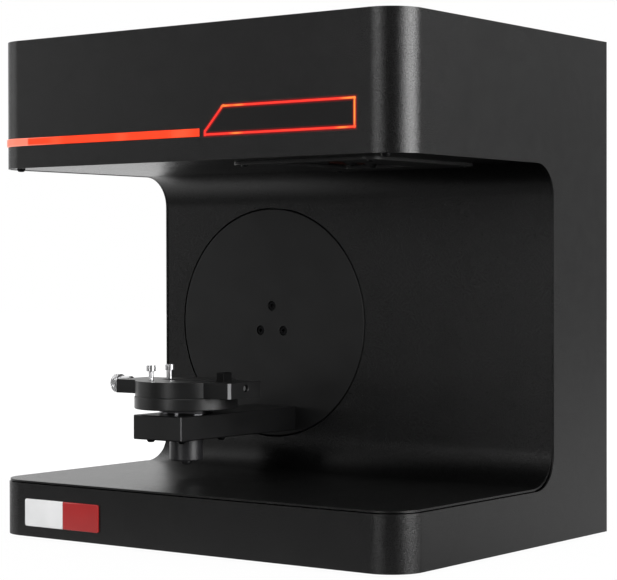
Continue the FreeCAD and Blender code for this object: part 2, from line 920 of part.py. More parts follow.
def make_feet():
    """Four rubber feet under the bottom plate."""
    d = dim
    profile = [
        (ZERO, ZERO),
        (d.foot_radius - d.foot_bevel, ZERO),
        (d.foot_radius, d.foot_bevel),
        (d.foot_radius, d.foot_height),
        (ZERO, d.foot_height),
    ]
    x = half_width - d.foot_inset
    y = half_depth - d.foot_inset
    places = [(sx * x, sy * y) for sx in (-1, 1) for sy in (-1, 1)]
    feet = [turned("rubber_foot_%d" % i, profile, px, py) for i, (px, py) in enumerate(places)]
    gather("rubber_feet", feet)


def make_lights():
    """The light strip round the left corner, its end block, and the lit frame with its plate."""
    d = dim
    proud = d.strip_proud
    inner = d.strip_depth
    split = strip_end - d.strip_split
    plan = [
        (split, -half_depth - proud),
        (-half_width - proud, -half_depth - proud, d.corner_radius + proud),
        (-half_width - proud, -half_depth + d.strip_return),
        (-half_width + inner, -half_depth + d.strip_return),
        (-half_width + inner, -half_depth + inner, d.corner_radius - inner),
        (split, -half_depth + inner),
    ]
    strip = Piece("light_strip")
    strip.pad("XY", [plan], strip_low, strip_top)
    keep("light_strip", strip.body)
    block = Piece("light_strip_end")
    plan = rectangle(split + plate_gap, strip_end, -half_depth - proud / 2, -half_depth + inner)
    block.pad("XY", [plan], strip_low, strip_top)
    keep("light_strip_end", block.body)
    frame = Piece("sign_frame")
    frame.pad("XZ", [sign_outline(0), sign_outline(d.sign_line)],
              -half_depth - plate_gap, -half_depth + d.sign_depth)
    keep("sign_frame", frame.body)
    plate = Piece("sign_plate")
    plate.pad("XZ", [sign_outline(d.sign_line + plate_gap)], -half_depth, -half_depth + d.sign_plate_sheet)
    keep("sign_plate", plate.body)


def make_badge():
    """Two plain glossy tiles side by side on the base's front."""
    d = dim
    left = d.badge_inset - half_width
    middle = left + d.badge_split
    right = left + d.badge_width
    low = shell_bottom + d.badge_rise
    top = low + d.badge_tall
    r = d.badge_corner
    tiles = {
        "badge_tile_left": [(left, low, r), (middle, low), (middle, top), (left, top, r)],
        "badge_tile_right": [(middle, low), (right, low, r), (right, top, r), (middle, top)],
    }
    for label, corners in tiles.items():
        tile = Piece(label)
        tile.pad("XZ", [corners], -half_depth - d.badge_sheet, -half_depth)
        keep(label, tile.body)


# The tilt axis' stack, from the wall backwards
disc_back = wall_face + dim.disc_sheet
flange_back = disc_back + dim.shaft_flange_sheet
frame_front = wall_face + dim.frame_setback
frame_back = frame_front + dim.frame_sheet
housing_front = frame_front - dim.housing_reach
housing_back = housing_front + dim.housing_length
bearing_1 = housing_front + dim.seam
bearing_2 = housing_back - dim.seam - dim.tilt_bearing_width
nut_front = housing_back + dim.seam
shaft_end = nut_front + dim.shaft_nut_width
gear_radius = dim.gear_module * GEAR_TEETH / 2
pinion_radius = dim.gear_module * PINION_TEETH / 2
pinion_z = tilt_z + gear_radius + pinion_radius


def make_tilt_disc():
    """The round plate in the wall, its three cap screws and the arm's bolts behind it."""
    d = dim
    disc = Piece("tilt_disc")
    disc.pad("XZ", [circle(tilt_x, tilt_z, d.disc_radius)], wall_face, disc_back)
    disc.chamfer(lambda middle, run: near(middle.y, wall_face), d.disc_bevel)
    places = disc_screw_places()
    sinks = [circle(x, z, d.counterbore_radius) for x, z in places]
    disc.pocket("XZ", sinks, wall_face - over, wall_face + d.counterbore_depth)
    holes = [circle(x, z, d.cap_shank_radius + d.running_gap) for x, z in places]
    disc.pocket("XZ", holes, wall_face - over, disc_back + over)
    bolts = [circle(x, z, d.arm_bolt_radius + d.running_gap) for x, z in arm_bolt_places()]
    disc.pocket("XZ", bolts, wall_face - over, disc_back + over)
    keep("tilt_disc", disc.body)
    length = d.disc_sheet - d.counterbore_depth + d.shaft_flange_sheet
    screws = [cap_screw("disc_screw_%d" % i, length, x, wall_face + d.counterbore_depth, z, AGAINST_Y)
              for i, (x, z) in enumerate(places)]
    gather("tilt_disc_screws", screws)
    profile = [
        (ZERO, -d.arm_bolt_length),
        (d.arm_bolt_radius, -d.arm_bolt_length),
        (d.arm_bolt_radius, ZERO),
        (d.arm_bolt_head_radius, ZERO),
        (d.arm_bolt_head_radius, d.arm_bolt_head_height),
        (ZERO, d.arm_bolt_head_height),
    ]
    heads = [turned("arm_bolt_%d" % i, profile, x, disc_back, z, ALONG_Y)
             for i, (x, z) in enumerate(arm_bolt_places())]
    gather("arm_bolts", heads)


def disc_screw_places():
    """Three screws on a circle about the tilt axis, the first straight up."""
    radius = dim.disc_screw_circle / 2
    angles = [math.radians(90 + 120 * i) for i in range(3)]
    return [(tilt_x + radius * math.cos(a), tilt_z + radius * math.sin(a)) for a in angles]


def arm_bolt_places():
    """The two bolts that hold the arm's root to the disc."""
    half = dim.arm_bolt_spacing / 2
    return [(tilt_x + side * half, tilt_z - dim.arm_bolt_drop) for side in (-1, 1)]


def make_tilt_shaft():
    """Flanged shaft, its nut, the two bearings and their housing."""
    d = dim
    length = shaft_end - disc_back
    shaft = turned("tilt_shaft", [
        (ZERO, ZERO),
        (d.shaft_flange_radius, ZERO),
        (d.shaft_flange_radius, d.shaft_flange_sheet),
        (d.shaft_radius, d.shaft_flange_sheet),
        (d.shaft_radius, length),
        (ZERO, length),
    ], tilt_x, disc_back, tilt_z, ALONG_Y)
    radius = d.disc_screw_circle / 2
    spots = [math.radians(90 + 120 * i) for i in range(3)]
    holes = [circle(radius * math.cos(a), -radius * math.sin(a), d.cap_shank_radius + d.running_gap)
             for a in spots]
    shaft.pocket("XY", holes, -over, d.shaft_flange_sheet)
    keep("tilt_shaft", shaft.body)
    nut = turned("tilt_shaft_nut", ring_profile(
        d.shaft_radius + d.running_gap, d.shaft_nut_radius, ZERO, d.shaft_nut_width),
        tilt_x, nut_front, tilt_z, ALONG_Y)
    keep("tilt_shaft_nut", nut.body)
    bore = d.tilt_bearing_radius + d.running_gap
    shoulder = bore - d.tilt_shoulder
    seat = d.seam + d.tilt_bearing_width
    flange_low = frame_back - housing_front
    flange_high = flange_low + d.housing_flange_sheet
    housing = turned("tilt_bearing_housing", [
        (bore, ZERO),
        (d.housing_radius, ZERO),
        (d.housing_radius, flange_low),
        (d.housing_flange_radius, flange_low),
        (d.housing_flange_radius, flange_high),
        (d.housing_radius, flange_high),
        (d.housing_radius, d.housing_length),
        (bore, d.housing_length),
        (bore, d.housing_length - seat),
        (shoulder, d.housing_length - seat),
        (shoulder, seat),
        (bore, seat),
    ], tilt_x, housing_front, tilt_z, ALONG_Y)
    spots = [math.radians(45 + 90 * i) for i in range(4)]
    ring = d.housing_screw_circle / 2
    holes = [circle(ring * math.cos(a), ring * math.sin(a), d.cap_shank_radius + d.running_gap) for a in spots]
    housing.pocket("XY", holes, flange_low - over, flange_high + over)
    keep("tilt_bearing_housing", housing.body)
    screws = [cap_screw("housing_screw_%d" % i, d.housing_flange_sheet + d.frame_sheet,
                        tilt_x + ring * math.cos(a), frame_back + d.housing_flange_sheet,
                        tilt_z + ring * math.sin(a), ALONG_Y)
              for i, a in enumerate(spots)]
    gather("housing_screws", screws)
    outer = []
    inner = []
    for i, front in enumerate((bearing_1, bearing_2)):
        pair = make_bearing("tilt_bearing_%d" % i, d.tilt_bearing_radius, d.shaft_radius + d.running_gap,
                            d.tilt_bearing_width, d.tilt_race)
        for piece in pair:
            place(piece.body, tilt_x, front, tilt_z, ALONG_Y)
        outer.append(pair[0])
        inner.append(pair[1])
    gather("tilt_bearing_outer_races", outer)
    gather("tilt_bearing_inner_races", inner)


def ring_profile(inner, outer, low, high):
    """A plain ring's section."""
    return [(inner, low), (outer, low), (outer, high), (inner, high)]


def make_bearing(name, outer_radius, bore_radius, width, race):
    """A shielded ball bearing as its two races; the outer one carries the shields."""
    d = dim
    shield = width * 0.14
    gap = d.running_gap * 2
    inner_top = bore_radius + race
    outer = Piece(name + "_outer")
    outer.revolve([
        (inner_top + gap, ZERO),
        (outer_radius, ZERO),
        (outer_radius, width),
        (inner_top + gap, width),
        (inner_top + gap, width - shield),
        (outer_radius - race, width - shield),
        (outer_radius - race, shield),
        (inner_top + gap, shield),
    ])
    inner = Piece(name + "_inner")
    inner.revolve(ring_profile(bore_radius, inner_top, ZERO, width))
    return outer, inner


def involute_point(base, radius, sign, start):
    """A point of an involute flank at a radius, turned to its tooth's place."""
    roll = math.sqrt(max((radius / base) ** 2 - 1, 0))
    angle = start + sign * (roll - math.atan(roll))
    return FreeCAD.Vector(radius * math.cos(angle), radius * math.sin(angle), 0)


def gear_solid(teeth, flank_steps, first_tooth, width, bore):
    """A spur gear along Z with involute flanks drawn as chords and a round bore."""
    module = cell("gear_module")
    pitch = module * teeth / 2
    base = pitch * math.cos(math.radians(PRESSURE_ANGLE))
    root = pitch - 1.25 * module
    tip = pitch + 0.94 * module
    thin = cell("gear_backlash") / 2 / pitch
    half = math.pi / teeth / 2 - thin / 2
    pressure = math.radians(PRESSURE_ANGLE)
    at_base = half + math.tan(pressure) - pressure
    low = max(base, root)
    radii = [low + (tip - low) * i / flank_steps for i in range(flank_steps + 1)]
    points = []
    for tooth in range(teeth):
        centre = first_tooth + 2 * math.pi * tooth / teeth
        rising = [involute_point(base, r, 1, centre - at_base) for r in radii]
        falling = [involute_point(base, r, -1, centre + at_base) for r in reversed(radii)]
        if root < base:
            foot = rising[0] * (root / rising[0].Length)
            heel = falling[-1] * (root / falling[-1].Length)
            rising.insert(0, foot)
            falling.append(heel)
        points += rising + falling
    outer = Part.Face(Part.makePolygon(points + points[:1]))
    blank = outer.extrude(FreeCAD.Vector(0, 0, width))
    return blank.cut(Part.makeCylinder(bore, width))


def make_gears():
    """The ring gear behind the disc and the motor's pinion that drives it."""
    d = dim
    bore = cell("shaft_flange_radius") + cell("trim_gap")
    gear = doc.addObject("Part::Feature", "tilt_gear")
    gear.Shape = gear_solid(GEAR_TEETH, 1, -math.pi / 2, cell("gear_width"), bore)
    place(gear, tilt_x, disc_back, tilt_z, ALONG_Y)
    keep("tilt_gear", gear)
    hole = cell("motor_shaft_radius") + cell("running_gap") / 2
    facing = math.pi / 2 + math.pi / PINION_TEETH
    pinion = doc.addObject("Part::Feature", "tilt_pinion")
    pinion.Shape = gear_solid(PINION_TEETH, 2, facing, cell("pinion_width"), hole)
    place(pinion, tilt_x, disc_back + d.seam, pinion_z, ALONG_Y)
    keep("tilt_pinion", pinion)


def make_tilt_motor():
    """The square stepper behind the frame and its shaft."""
    d = dim
    half = d.motor_side / 2
    c = d.motor_bevel
    x0, x1 = tilt_x - half, tilt_x + half
    z0, z1 = pinion_z - half, pinion_z + half
    outline = [(x0 + c, z0), (x1 - c, z0), (x1, z0 + c), (x1, z1 - c),
               (x1 - c, z1), (x0 + c, z1), (x0, z1 - c), (x0, z0 + c)]
    motor = Piece("tilt_motor")
    motor.pad("XZ", [outline], frame_back, frame_back + d.motor_length)
    pilot = circle(tilt_x, pinion_z, d.motor_pilot_radius)
    motor.pad("XZ", [pilot], frame_back - d.motor_pilot_height, frame_back)
    bore_depth = d.motor_length / 2
    bore = circle(tilt_x, pinion_z, d.motor_shaft_radius + d.running_gap)
    motor.pocket("XZ", [bore], frame_back - d.motor_pilot_height, frame_back + bore_depth)
    keep("tilt_motor", motor.body)
    front = disc_back + d.seam
    shaft = turned("tilt_motor_shaft", [
        (ZERO, ZERO),
        (d.motor_shaft_radius, ZERO),
        (d.motor_shaft_radius, frame_back + bore_depth - d.seam - front),
        (ZERO, frame_back + bore_depth - d.seam - front),
    ], tilt_x, front, pinion_z, ALONG_Y)
    keep("tilt_motor_shaft", shaft.body)
    reach = d.motor_screw_spacing / 2
    screws = [
        dome_screw("motor_screw_%d" % i, d.rear_head_radius, d.rear_head_height, d.small_screw_radius,
                   d.frame_sheet, tilt_x + sx * reach, frame_front, pinion_z + sz * reach, AGAINST_Y)
        for i, (sx, sz) in enumerate(((-1, -1), (1, -1), (1, 1), (-1, 1)))
    ]
    gather("motor_screws", screws)


def make_frame():
    """The steel frame that stands in the column and carries the tilt axis."""
    d = dim
    side = wrap_inner_x - plate_gap
    lip = frame_back + d.frame_lip
    plan = [
        (-side, frame_front), (side, frame_front), (side, lip), (side - d.frame_sheet, lip),
        (side - d.frame_sheet, frame_back), (-side + d.frame_sheet, frame_back),
        (-side + d.frame_sheet, lip), (-side, lip),
    ]
    top = shell_top - d.wrap_sheet - d.frame_top_gap
    frame = Piece("column_frame")
    frame.pad("XY", [plan], bottom_inside, top)
    foot = rectangle(-side + d.frame_sheet, side - d.frame_sheet, frame_back, frame_back + d.frame_foot)
    frame.pad("XY", [foot], bottom_inside, bottom_inside + d.frame_sheet)
    half = d.frame_window_width / 2
    low = bottom_inside + d.frame_window_low
    high = top - d.frame_window_low
    windows = [
        rectangle(-half, half, low, low + d.frame_window_height, d.port_corner),
        rectangle(-half, half, high - d.frame_window_height, high, d.port_corner),
    ]
    frame.pocket("XZ", windows, frame_front - over, frame_back + over)
    ring = d.housing_screw_circle / 2
    reach = d.motor_screw_spacing / 2
    holes = [
        circle(tilt_x, tilt_z, d.housing_radius + d.running_gap * 2),
        circle(tilt_x, pinion_z, d.motor_pilot_radius + d.running_gap * 2),
    ]
    for i in range(4):
        a = math.radians(45 + 90 * i)
        holes.append(circle(tilt_x + ring * math.cos(a), tilt_z + ring * math.sin(a),
                            d.cap_shank_radius + d.running_gap))
        sx, sz = ((-1, -1), (1, -1), (1, 1), (-1, 1))[i]
        holes.append(circle(tilt_x + sx * reach, pinion_z + sz * reach, d.small_screw_radius + d.running_gap))
    frame.pocket("XZ", holes, frame_front - over, frame_back + over)
    keep("column_frame", frame.body)


# The arm and the turntable's stack, from the arm upwards
arm_top = tilt_z - dim.arm_drop
arm_bottom = arm_top - dim.arm_thick
arm_half = dim.arm_width / 2
arm_front = table_y - dim.arm_front
cover_top = arm_bottom + dim.arm_cover_sheet
upper_seat = arm_top - dim.table_bearing_width - dim.seam
lower_seat = cover_top + dim.trim_gap + dim.table_bearing_width + dim.seam
ring_top = arm_top + dim.steel_ring_height
table_bottom = ring_top + dim.table_gap
table_top = table_bottom + dim.table_height
clamp_top = table_top + dim.clamp_height


def arm_screw_places():
    """Four cover screws about the turntable's axis."""
    x = dim.arm_screw_x / 2
    y = dim.arm_screw_y / 2
    return [(tilt_x + sx * x, table_y + sy * y) for sx, sy in ((-1, -1), (1, -1), (1, 1), (-1, 1))]


def make_arm():
    """The hollow arm, its cover and the cover's button-head screws."""
    d = dim
    x0, x1 = tilt_x - arm_half, tilt_x + arm_half
    arm = Piece("arm_housing")
    arm.pad("XY", [rectangle(x0, x1, arm_front, wall_face)], arm_bottom, arm_top)

    def outer_edge(middle, run):
        return not near(middle.y, wall_face)

    arm.chamfer(outer_edge, d.arm_edge)
    rebate = rectangle(x0 + d.arm_wall, x1 - d.arm_wall, arm_front + d.arm_wall, wall_face - d.arm_root)
    arm.pocket("XY", [rebate], arm_bottom - over, cover_top)
    inset = d.arm_wall + d.arm_rebate
    cavity = rectangle(x0 + inset, x1 - inset, arm_front + inset, wall_face - d.arm_root - d.arm_rebate)
    arm.pocket("XY", [cavity], arm_bottom - over, arm_top - d.arm_top_wall)
    arm.pad("XY", [circle(tilt_x, table_y, d.boss_radius)], cover_top + d.trim_gap, arm_top - d.arm_top_wall)
    posts = [circle(x, y, d.post_boss_radius) for x, y in arm_screw_places()]
    arm.pad("XY", posts, cover_top, arm_top - d.arm_top_wall)
    seat = circle(tilt_x, table_y, d.table_bearing_radius + d.running_gap)
    arm.pocket("XY", [seat], arm_bottom, lower_seat)
    arm.pocket("XY", [seat], upper_seat, arm_top + over)
    throat = circle(tilt_x, table_y, d.table_bearing_radius - d.table_race)
    arm.pocket("XY", [throat], arm_bottom, arm_top + over)
    taps = [circle(x, y, d.button_shank_radius + d.running_gap) for x, y in arm_screw_places()]
    arm.pocket("XY", taps, cover_top - over, cover_top + d.button_shank_length - d.arm_cover_sheet)
    bolts = [circle(x, z, d.arm_bolt_radius + d.running_gap) for x, z in arm_bolt_places()]
    arm.pocket("XZ", bolts, wall_face - d.arm_bolt_length + d.disc_sheet - d.seam, wall_face + over)
    keep("arm_housing", arm.body)
    cover = Piece("arm_cover")
    gap = d.trim_gap
    cover.pad("XY", [rectangle(x0 + d.arm_wall + gap, x1 - d.arm_wall - gap, arm_front + d.arm_wall + gap,
                               wall_face - d.arm_root - gap)], arm_bottom, cover_top)
    holes = [circle(tilt_x, table_y, d.table_motor_radius + gap)]
    holes += [circle(x, y, d.button_shank_radius + d.running_gap) for x, y in arm_screw_places()]
    cover.pocket("XY", holes, arm_bottom - over, cover_top + over)
    keep("arm_cover", cover.body)
    screws = [
        dome_screw("arm_screw_%d" % i, d.button_radius, d.button_height, d.button_shank_radius,
                   d.button_shank_length - d.seam, x, y, arm_bottom, DOWNWARDS)
        for i, (x, y) in enumerate(arm_screw_places())
    ]
    gather("arm_cover_screws", screws)


def make_table_drive():
    """The small motor under the arm, the two bearings, the steel ring and the spindle."""
    d = dim
    low = arm_bottom - d.table_motor_height
    bore = d.table_motor_shaft_radius + d.running_gap
    c = d.table_motor_bevel
    h = d.table_motor_hub_bevel
    top = cover_top - low
    floor = top - d.table_motor_shaft_length
    motor = turned("table_motor", [
        (ZERO, -d.table_motor_hub),
        (d.table_motor_hub_radius - h, -d.table_motor_hub),
        (d.table_motor_hub_radius, h - d.table_motor_hub),
        (d.table_motor_hub_radius, ZERO),
        (d.table_motor_radius - c, ZERO),
        (d.table_motor_radius, c),
        (d.table_motor_radius, top),
        (bore, top),
        (bore, floor),
        (ZERO, floor),
    ], tilt_x, table_y, low)
    keep("table_motor", motor.body)
    outer = []
    inner = []
    for i, seat in enumerate((lower_seat - d.table_bearing_width, upper_seat)):
        pair = make_bearing("table_bearing_%d" % i, d.table_bearing_radius, d.spindle_radius + d.running_gap,
                            d.table_bearing_width, d.table_race)
        for piece in pair:
            place(piece.body, tilt_x, table_y, seat)
        outer.append(pair[0])
        inner.append(pair[1])
    gather("table_bearing_outer_races", outer)
    gather("table_bearing_inner_races", inner)
    b = d.steel_ring_bevel
    ring = turned("steel_ring", [
        (d.table_bearing_radius - d.table_race, ZERO),
        (d.steel_ring_radius, ZERO),
        (d.steel_ring_radius, d.steel_ring_height - b),
        (d.steel_ring_radius - b, d.steel_ring_height),
        (d.table_bearing_radius - d.table_race, d.steel_ring_height),
    ], tilt_x, table_y, arm_top)
    keep("steel_ring", ring.body)
    foot = cover_top - d.table_motor_shaft_length + d.seam
    shoulder = lower_seat - d.table_bearing_width - foot
    height = table_bottom + d.spindle_entry - foot
    spindle = turned("turntable_spindle", [
        (ZERO, ZERO),
        (d.table_motor_shaft_radius, ZERO),
        (d.table_motor_shaft_radius, shoulder),
        (d.spindle_radius, shoulder),
        (d.spindle_radius, height),
        (ZERO, height),
    ], tilt_x, table_y, foot)
    keep("turntable_spindle", spindle.body)


def make_turntable():
    """The turned disc on the spindle."""
    d = dim
    b = d.table_bevel
    r = d.table_radius
    bore = d.spindle_radius + d.running_gap
    entry = d.spindle_entry + d.table_gap
    disc = turned("turntable_disc", [
        (bore, ZERO),
        (r - b, ZERO),
        (r, b),
        (r, d.table_height - b),
        (r - b, d.table_height),
        (ZERO, d.table_height),
        (ZERO, entry),
        (bore, entry),
    ], tilt_x, table_y, table_bottom)
    keep("turntable_disc", disc.body)


def make_clamp():
    """The clamp body with its channel, posts, jaw, lead screw and knurled knob."""
    d = dim
    half = d.clamp_length / 2
    wide = d.clamp_width / 2
    c = d.clamp_bevel
    x0, x1 = tilt_x + d.clamp_shift - half, tilt_x + d.clamp_shift + half
    y0, y1 = table_y - wide, table_y + wide
    right_bar = [(tilt_x, y0), (x1 - c, y0), (x1, y0 + c), (x1, y1 - c), (x1 - c, y1), (tilt_x, y1)]
    left_bar = [(tilt_x, y0), (tilt_x, y1), (x0 + c, y1), (x0, y1 - c), (x0, y0 + c), (x0 + c, y0)]
    axis_z = table_top + d.screw_height
    body = Piece("clamp_body")
    body.pad("XY", [circle(tilt_x, table_y, d.clamp_radius)], table_top, clamp_top)
    body.pad("XY", [right_bar], table_top, clamp_top)
    body.pad("XY", [left_bar], table_top + d.clamp_step, clamp_top)
    channel_x0 = tilt_x - d.channel_left
    channel_x1 = tilt_x + d.channel_right
    channel = rectangle(channel_x0, channel_x1, table_y - d.channel_width / 2, table_y + d.channel_width / 2)
    body.pocket("XY", [channel], table_top + d.channel_floor, clamp_top + over)
    left_bore = circle(table_y, axis_z, d.screw_radius + d.running_gap)
    body.pocket("YZ", [left_bore], x0 - over, channel_x0 + over)
    right_bore = circle(table_y, axis_z, d.end_hole_radius)
    body.pocket("YZ", [right_bore], channel_x1 - over, x1 + over)
    posts = post_places()
    taps = [circle(x, y, d.cap_shank_radius + d.running_gap) for x, y in posts]
    body.pocket("XY", taps, clamp_top - d.post_depth - d.seam, clamp_top + over)
    keep("clamp_body", body.body)
    stem = d.post_height - d.post_head_height
    pins = [cap_screw("clamp_post_%d" % i, stem + d.post_depth, x, y, clamp_top + stem, None,
                      d.post_head_radius, d.post_head_height)
            for i, (x, y) in enumerate(posts)]
    gather("clamp_posts", pins)
    jaw_x1 = tilt_x + d.jaw_offset + d.jaw_thick
    jaw_x0 = tilt_x + d.jaw_offset
    jaw_low = table_top + d.channel_floor + d.jaw_slide_gap
    jaw = Piece("clamp_jaw")
    jaw.pad("XY", [rectangle(jaw_x0, jaw_x1, table_y - d.jaw_width / 2, table_y + d.jaw_width / 2)],
            jaw_low, clamp_top + d.jaw_rise)
    jaw.chamfer(lambda middle, run: near(middle.z, clamp_top + d.jaw_rise), d.jaw_bevel)
    jaw.pocket("YZ", [left_bore], jaw_x0 - over, jaw_x1 + over)
    keep("clamp_jaw", jaw.body)
    knob_x = x0 - d.knob_hub_length - d.seam
    tip = x1 - d.seam * 4 - knob_x
    shoulder = tip - d.screw_tip_length
    screw = turned("clamp_lead_screw", [
        (ZERO, ZERO),
        (d.screw_radius, ZERO),
        (d.screw_radius, shoulder),
        (d.screw_tip_radius, shoulder),
        (d.screw_tip_radius, tip),
        (ZERO, tip),
    ], knob_x, table_y, axis_z, ALONG_X)
    keep("clamp_lead_screw", screw.body)
    make_knob(knob_x, axis_z)


def post_places():
    """The two clamp posts, one each side of the channel."""
    half = dim.post_spacing / 2
    return [(tilt_x - dim.post_offset, table_y + side * half) for side in (-1, 1)]


def make_knob(knob_x, axis_z):
    """Straight-knurled knob with a plain hub that runs against the bar's end."""
    outer = cell("knob_radius")
    valley = outer - cell("knob_ridge")
    points = []
    for i in range(KNOB_RIDGES * 2):
        radius = outer if i % 2 else valley
        angle = math.pi * i / KNOB_RIDGES
        points.append(FreeCAD.Vector(radius * math.cos(angle), radius * math.sin(angle), 0))
    rim = Part.Face(Part.Wire(Part.makePolygon(points + points[:1])))
    length = cell("knob_length")
    grip = rim.extrude(FreeCAD.Vector(0, 0, length))
    bevel = cell("knob_ridge") * 2
    inside = outer - bevel
    lower = Part.makeCone(inside, outer, bevel)
    middle = Part.makeCylinder(outer, length - bevel * 2, FreeCAD.Vector(0, 0, bevel))
    upper = Part.makeCone(outer, inside, bevel, FreeCAD.Vector(0, 0, length - bevel))
    grip = grip.common(lower.fuse([middle, upper]))
    hub = Part.makeCylinder(cell("knob_hub_radius"), cell("knob_hub_length"), FreeCAD.Vector(0, 0, length))
    bore = Part.makeCylinder(cell("screw_radius") + cell("running_gap") / 2, cell("knob_hub_length"),
                             FreeCAD.Vector(0, 0, length))
    knob = doc.addObject("Part::Feature", "clamp_knob")
    knob.Shape = grip.fuse(hub).cut(bore).removeSplitter()
    place(knob, knob_x - dim.knob_length, table_y, axis_z, ALONG_X)
    keep("clamp_knob", knob)


# The optics look along a slanted axis at a point above the turntable
OPTICS_TURN = turned_about((0, 1, 0), OPTICS_ANGLE)


axis_meets_plate = dim.optics_reach / SLANT
lens_front = axis_meets_plate + dim.lens_setback
bracket_near = axis_meets_plate + dim.bracket_rise
bracket_far = bracket_near + dim.bracket_sheet


def foot_line(across):
    """Height along the optical axis at which the head plate's top is met."""
    return across + axis_meets_plate


# A camera's axis leans from the projector's by an angle with these shares of its sides
camera_ray = hypotenuse(dim.camera_spread, axis_meets_plate)
lean_across = dim.camera_spread / camera_ray
lean_along = axis_meets_plate / camera_ray
lean_bend = (camera_ray - axis_meets_plate) / dim.camera_spread


def place_optics(thing, side=0):
    """Put a piece on the optical axis, or on a camera's axis beside it."""
    lean = math.degrees(math.atan2(lean_across.value, lean_along.value))
    turn = OPTICS_TURN.multiply(turned_about((1, 0, 0), -side * lean))
    place(thing, tilt_x, table_y, head_plate_top - dim.optics_reach, turn)


def make_bezel():
    """The square frame round the optics' opening and its screws."""
    d = dim
    x0 = port_x0 - d.bezel_left_border
    x1 = port_x1 + d.bezel_right_border
    y0 = -half_depth + d.bezel_front
    y1 = port_y1 + d.bezel_back_border
    low = head_face - d.bezel_sheet
    bezel = Piece("optics_bezel")
    bezel.pad("XY", [rectangle(x0, x1, y0, y1, d.bezel_corner), port_outline()], low, head_face)

    def lower_outer(middle, run):
        outside = middle.x < x0.value + 1 or middle.x > x1.value - 1
        outside = outside or middle.y < y0.value + 1 or middle.y > y1.value - 1
        return near(middle.z, low) and outside

    bezel.chamfer(lower_outer, d.bezel_bevel)
    i = d.bezel_screw_inset
    spots = [(x0 + i, y0 + i), (x1 - i, y0 + i), (x1 - i, y1 - i), (x0 + i, y1 - i)]
    holes = [circle(x, y, d.small_screw_radius + d.running_gap) for x, y in spots]
    bezel.pocket("XY", holes, low - over, head_face + over)
    keep("optics_bezel", bezel.body)
    screws = [
        dome_screw("bezel_screw_%d" % n, d.bezel_head_radius, d.bezel_head_height, d.small_screw_radius,
                   d.bezel_sheet, x, y, low, DOWNWARDS)
        for n, (x, y) in enumerate(spots)
    ]
    gather("bezel_screws", screws)


def make_bracket():
    """The bent plate that holds the three optical units, on two cheeks with feet."""
    d = dim
    near_face = bracket_near
    far_face = bracket_far

    def bend(distance):
        return distance * lean_bend, distance

    def wing_end(distance):
        across = distance * lean_across + d.bracket_wing * lean_along
        along = distance * lean_along - d.bracket_wing * lean_across
        return across, along

    def mirror(point):
        return -point[0], point[1]

    profile = [
        mirror(wing_end(near_face)), mirror(bend(near_face)), bend(near_face), wing_end(near_face),
        wing_end(far_face), bend(far_face), mirror(bend(far_face)), mirror(wing_end(far_face)),
    ]
    bracket = Piece("optics_bracket_blank")
    bracket.pad("YZ", [profile], -d.bracket_half, d.bracket_half)
    cheek_y = wing_end(near_face)[0] - d.cheek_sheet / 2
    low = wing_end(near_face)[1]
    start = low - foot_line(ZERO)
    end = start + d.bracket_foot_run
    rise = d.bracket_foot_rise * SLANT
    cheek = [
        (-d.bracket_half, low),
        (start, low),
        (end, foot_line(end)),
        (end - rise, foot_line(end) + rise),
        (-d.bracket_half, low + d.cheek_top),
    ]
    foot_rise = d.cheek_sheet * SLANT
    foot = [
        (start, low),
        (end, foot_line(end)),
        (end - foot_rise, foot_line(end) + foot_rise),
        (start - foot_rise, low + foot_rise),
    ]
    for side in (-1, 1):
        inner = cheek_y
        outer = cheek_y + d.cheek_sheet
        edge = outer + d.bracket_foot_width
        if side > 0:
            bracket.pad("XZ", [cheek], inner, outer)
            bracket.pad("XZ", [foot], outer, edge)
        else:
            bracket.pad("XZ", [cheek], -outer, -inner)
            bracket.pad("XZ", [foot], -edge, -outer)
    place_optics(bracket.body)
    drills = []
    for side, radius in ((-1, d.camera_lens_radius), (0, d.projector_lens_radius), (1, d.camera_lens_radius)):
        drill = doc.addObject("Part::Cylinder", "optics_drill_%d" % (side + 1))
        bind(drill, "Radius", radius + d.lens_gap)
        bind(drill, "Height", bracket_far + over)
        place_optics(drill, side)
        drills.append(drill)
    tools = doc.addObject("Part::MultiFuse", "optics_drills")
    tools.Shapes = drills
    cut = doc.addObject("Part::Cut", "optics_bracket")
    cut.Base = bracket.body
    cut.Tool = tools
    keep("optics_bracket", cut)


def lens_profile(radius):
    """A stepped lens barrel with a recess for its front glass."""
    d = dim
    front = lens_front
    back = bracket_far
    mouth = radius - d.lens_rim
    floor = front + d.lens_recess + d.lens_glass + d.trim_gap
    waist = radius - d.lens_rim / 2
    return [
        (ZERO, floor),
        (mouth, floor),
        (mouth, front),
        (radius, front),
        (radius, front + d.lens_step),
        (waist, front + d.lens_step + d.lens_rim / 2),
        (waist, back),
        (ZERO, back),
    ]


def glass_profile(radius):
    """A front glass with a slightly crowned face."""
    d = dim
    low = lens_front + d.lens_recess
    edge = radius - d.lens_rim - d.running_gap
    return [
        (ZERO, low),
        (edge * 0.55, low + d.running_gap * 5),
        (edge, low + d.running_gap * 20),
        (edge, low + d.lens_glass),
        (ZERO, low + d.lens_glass),
    ]


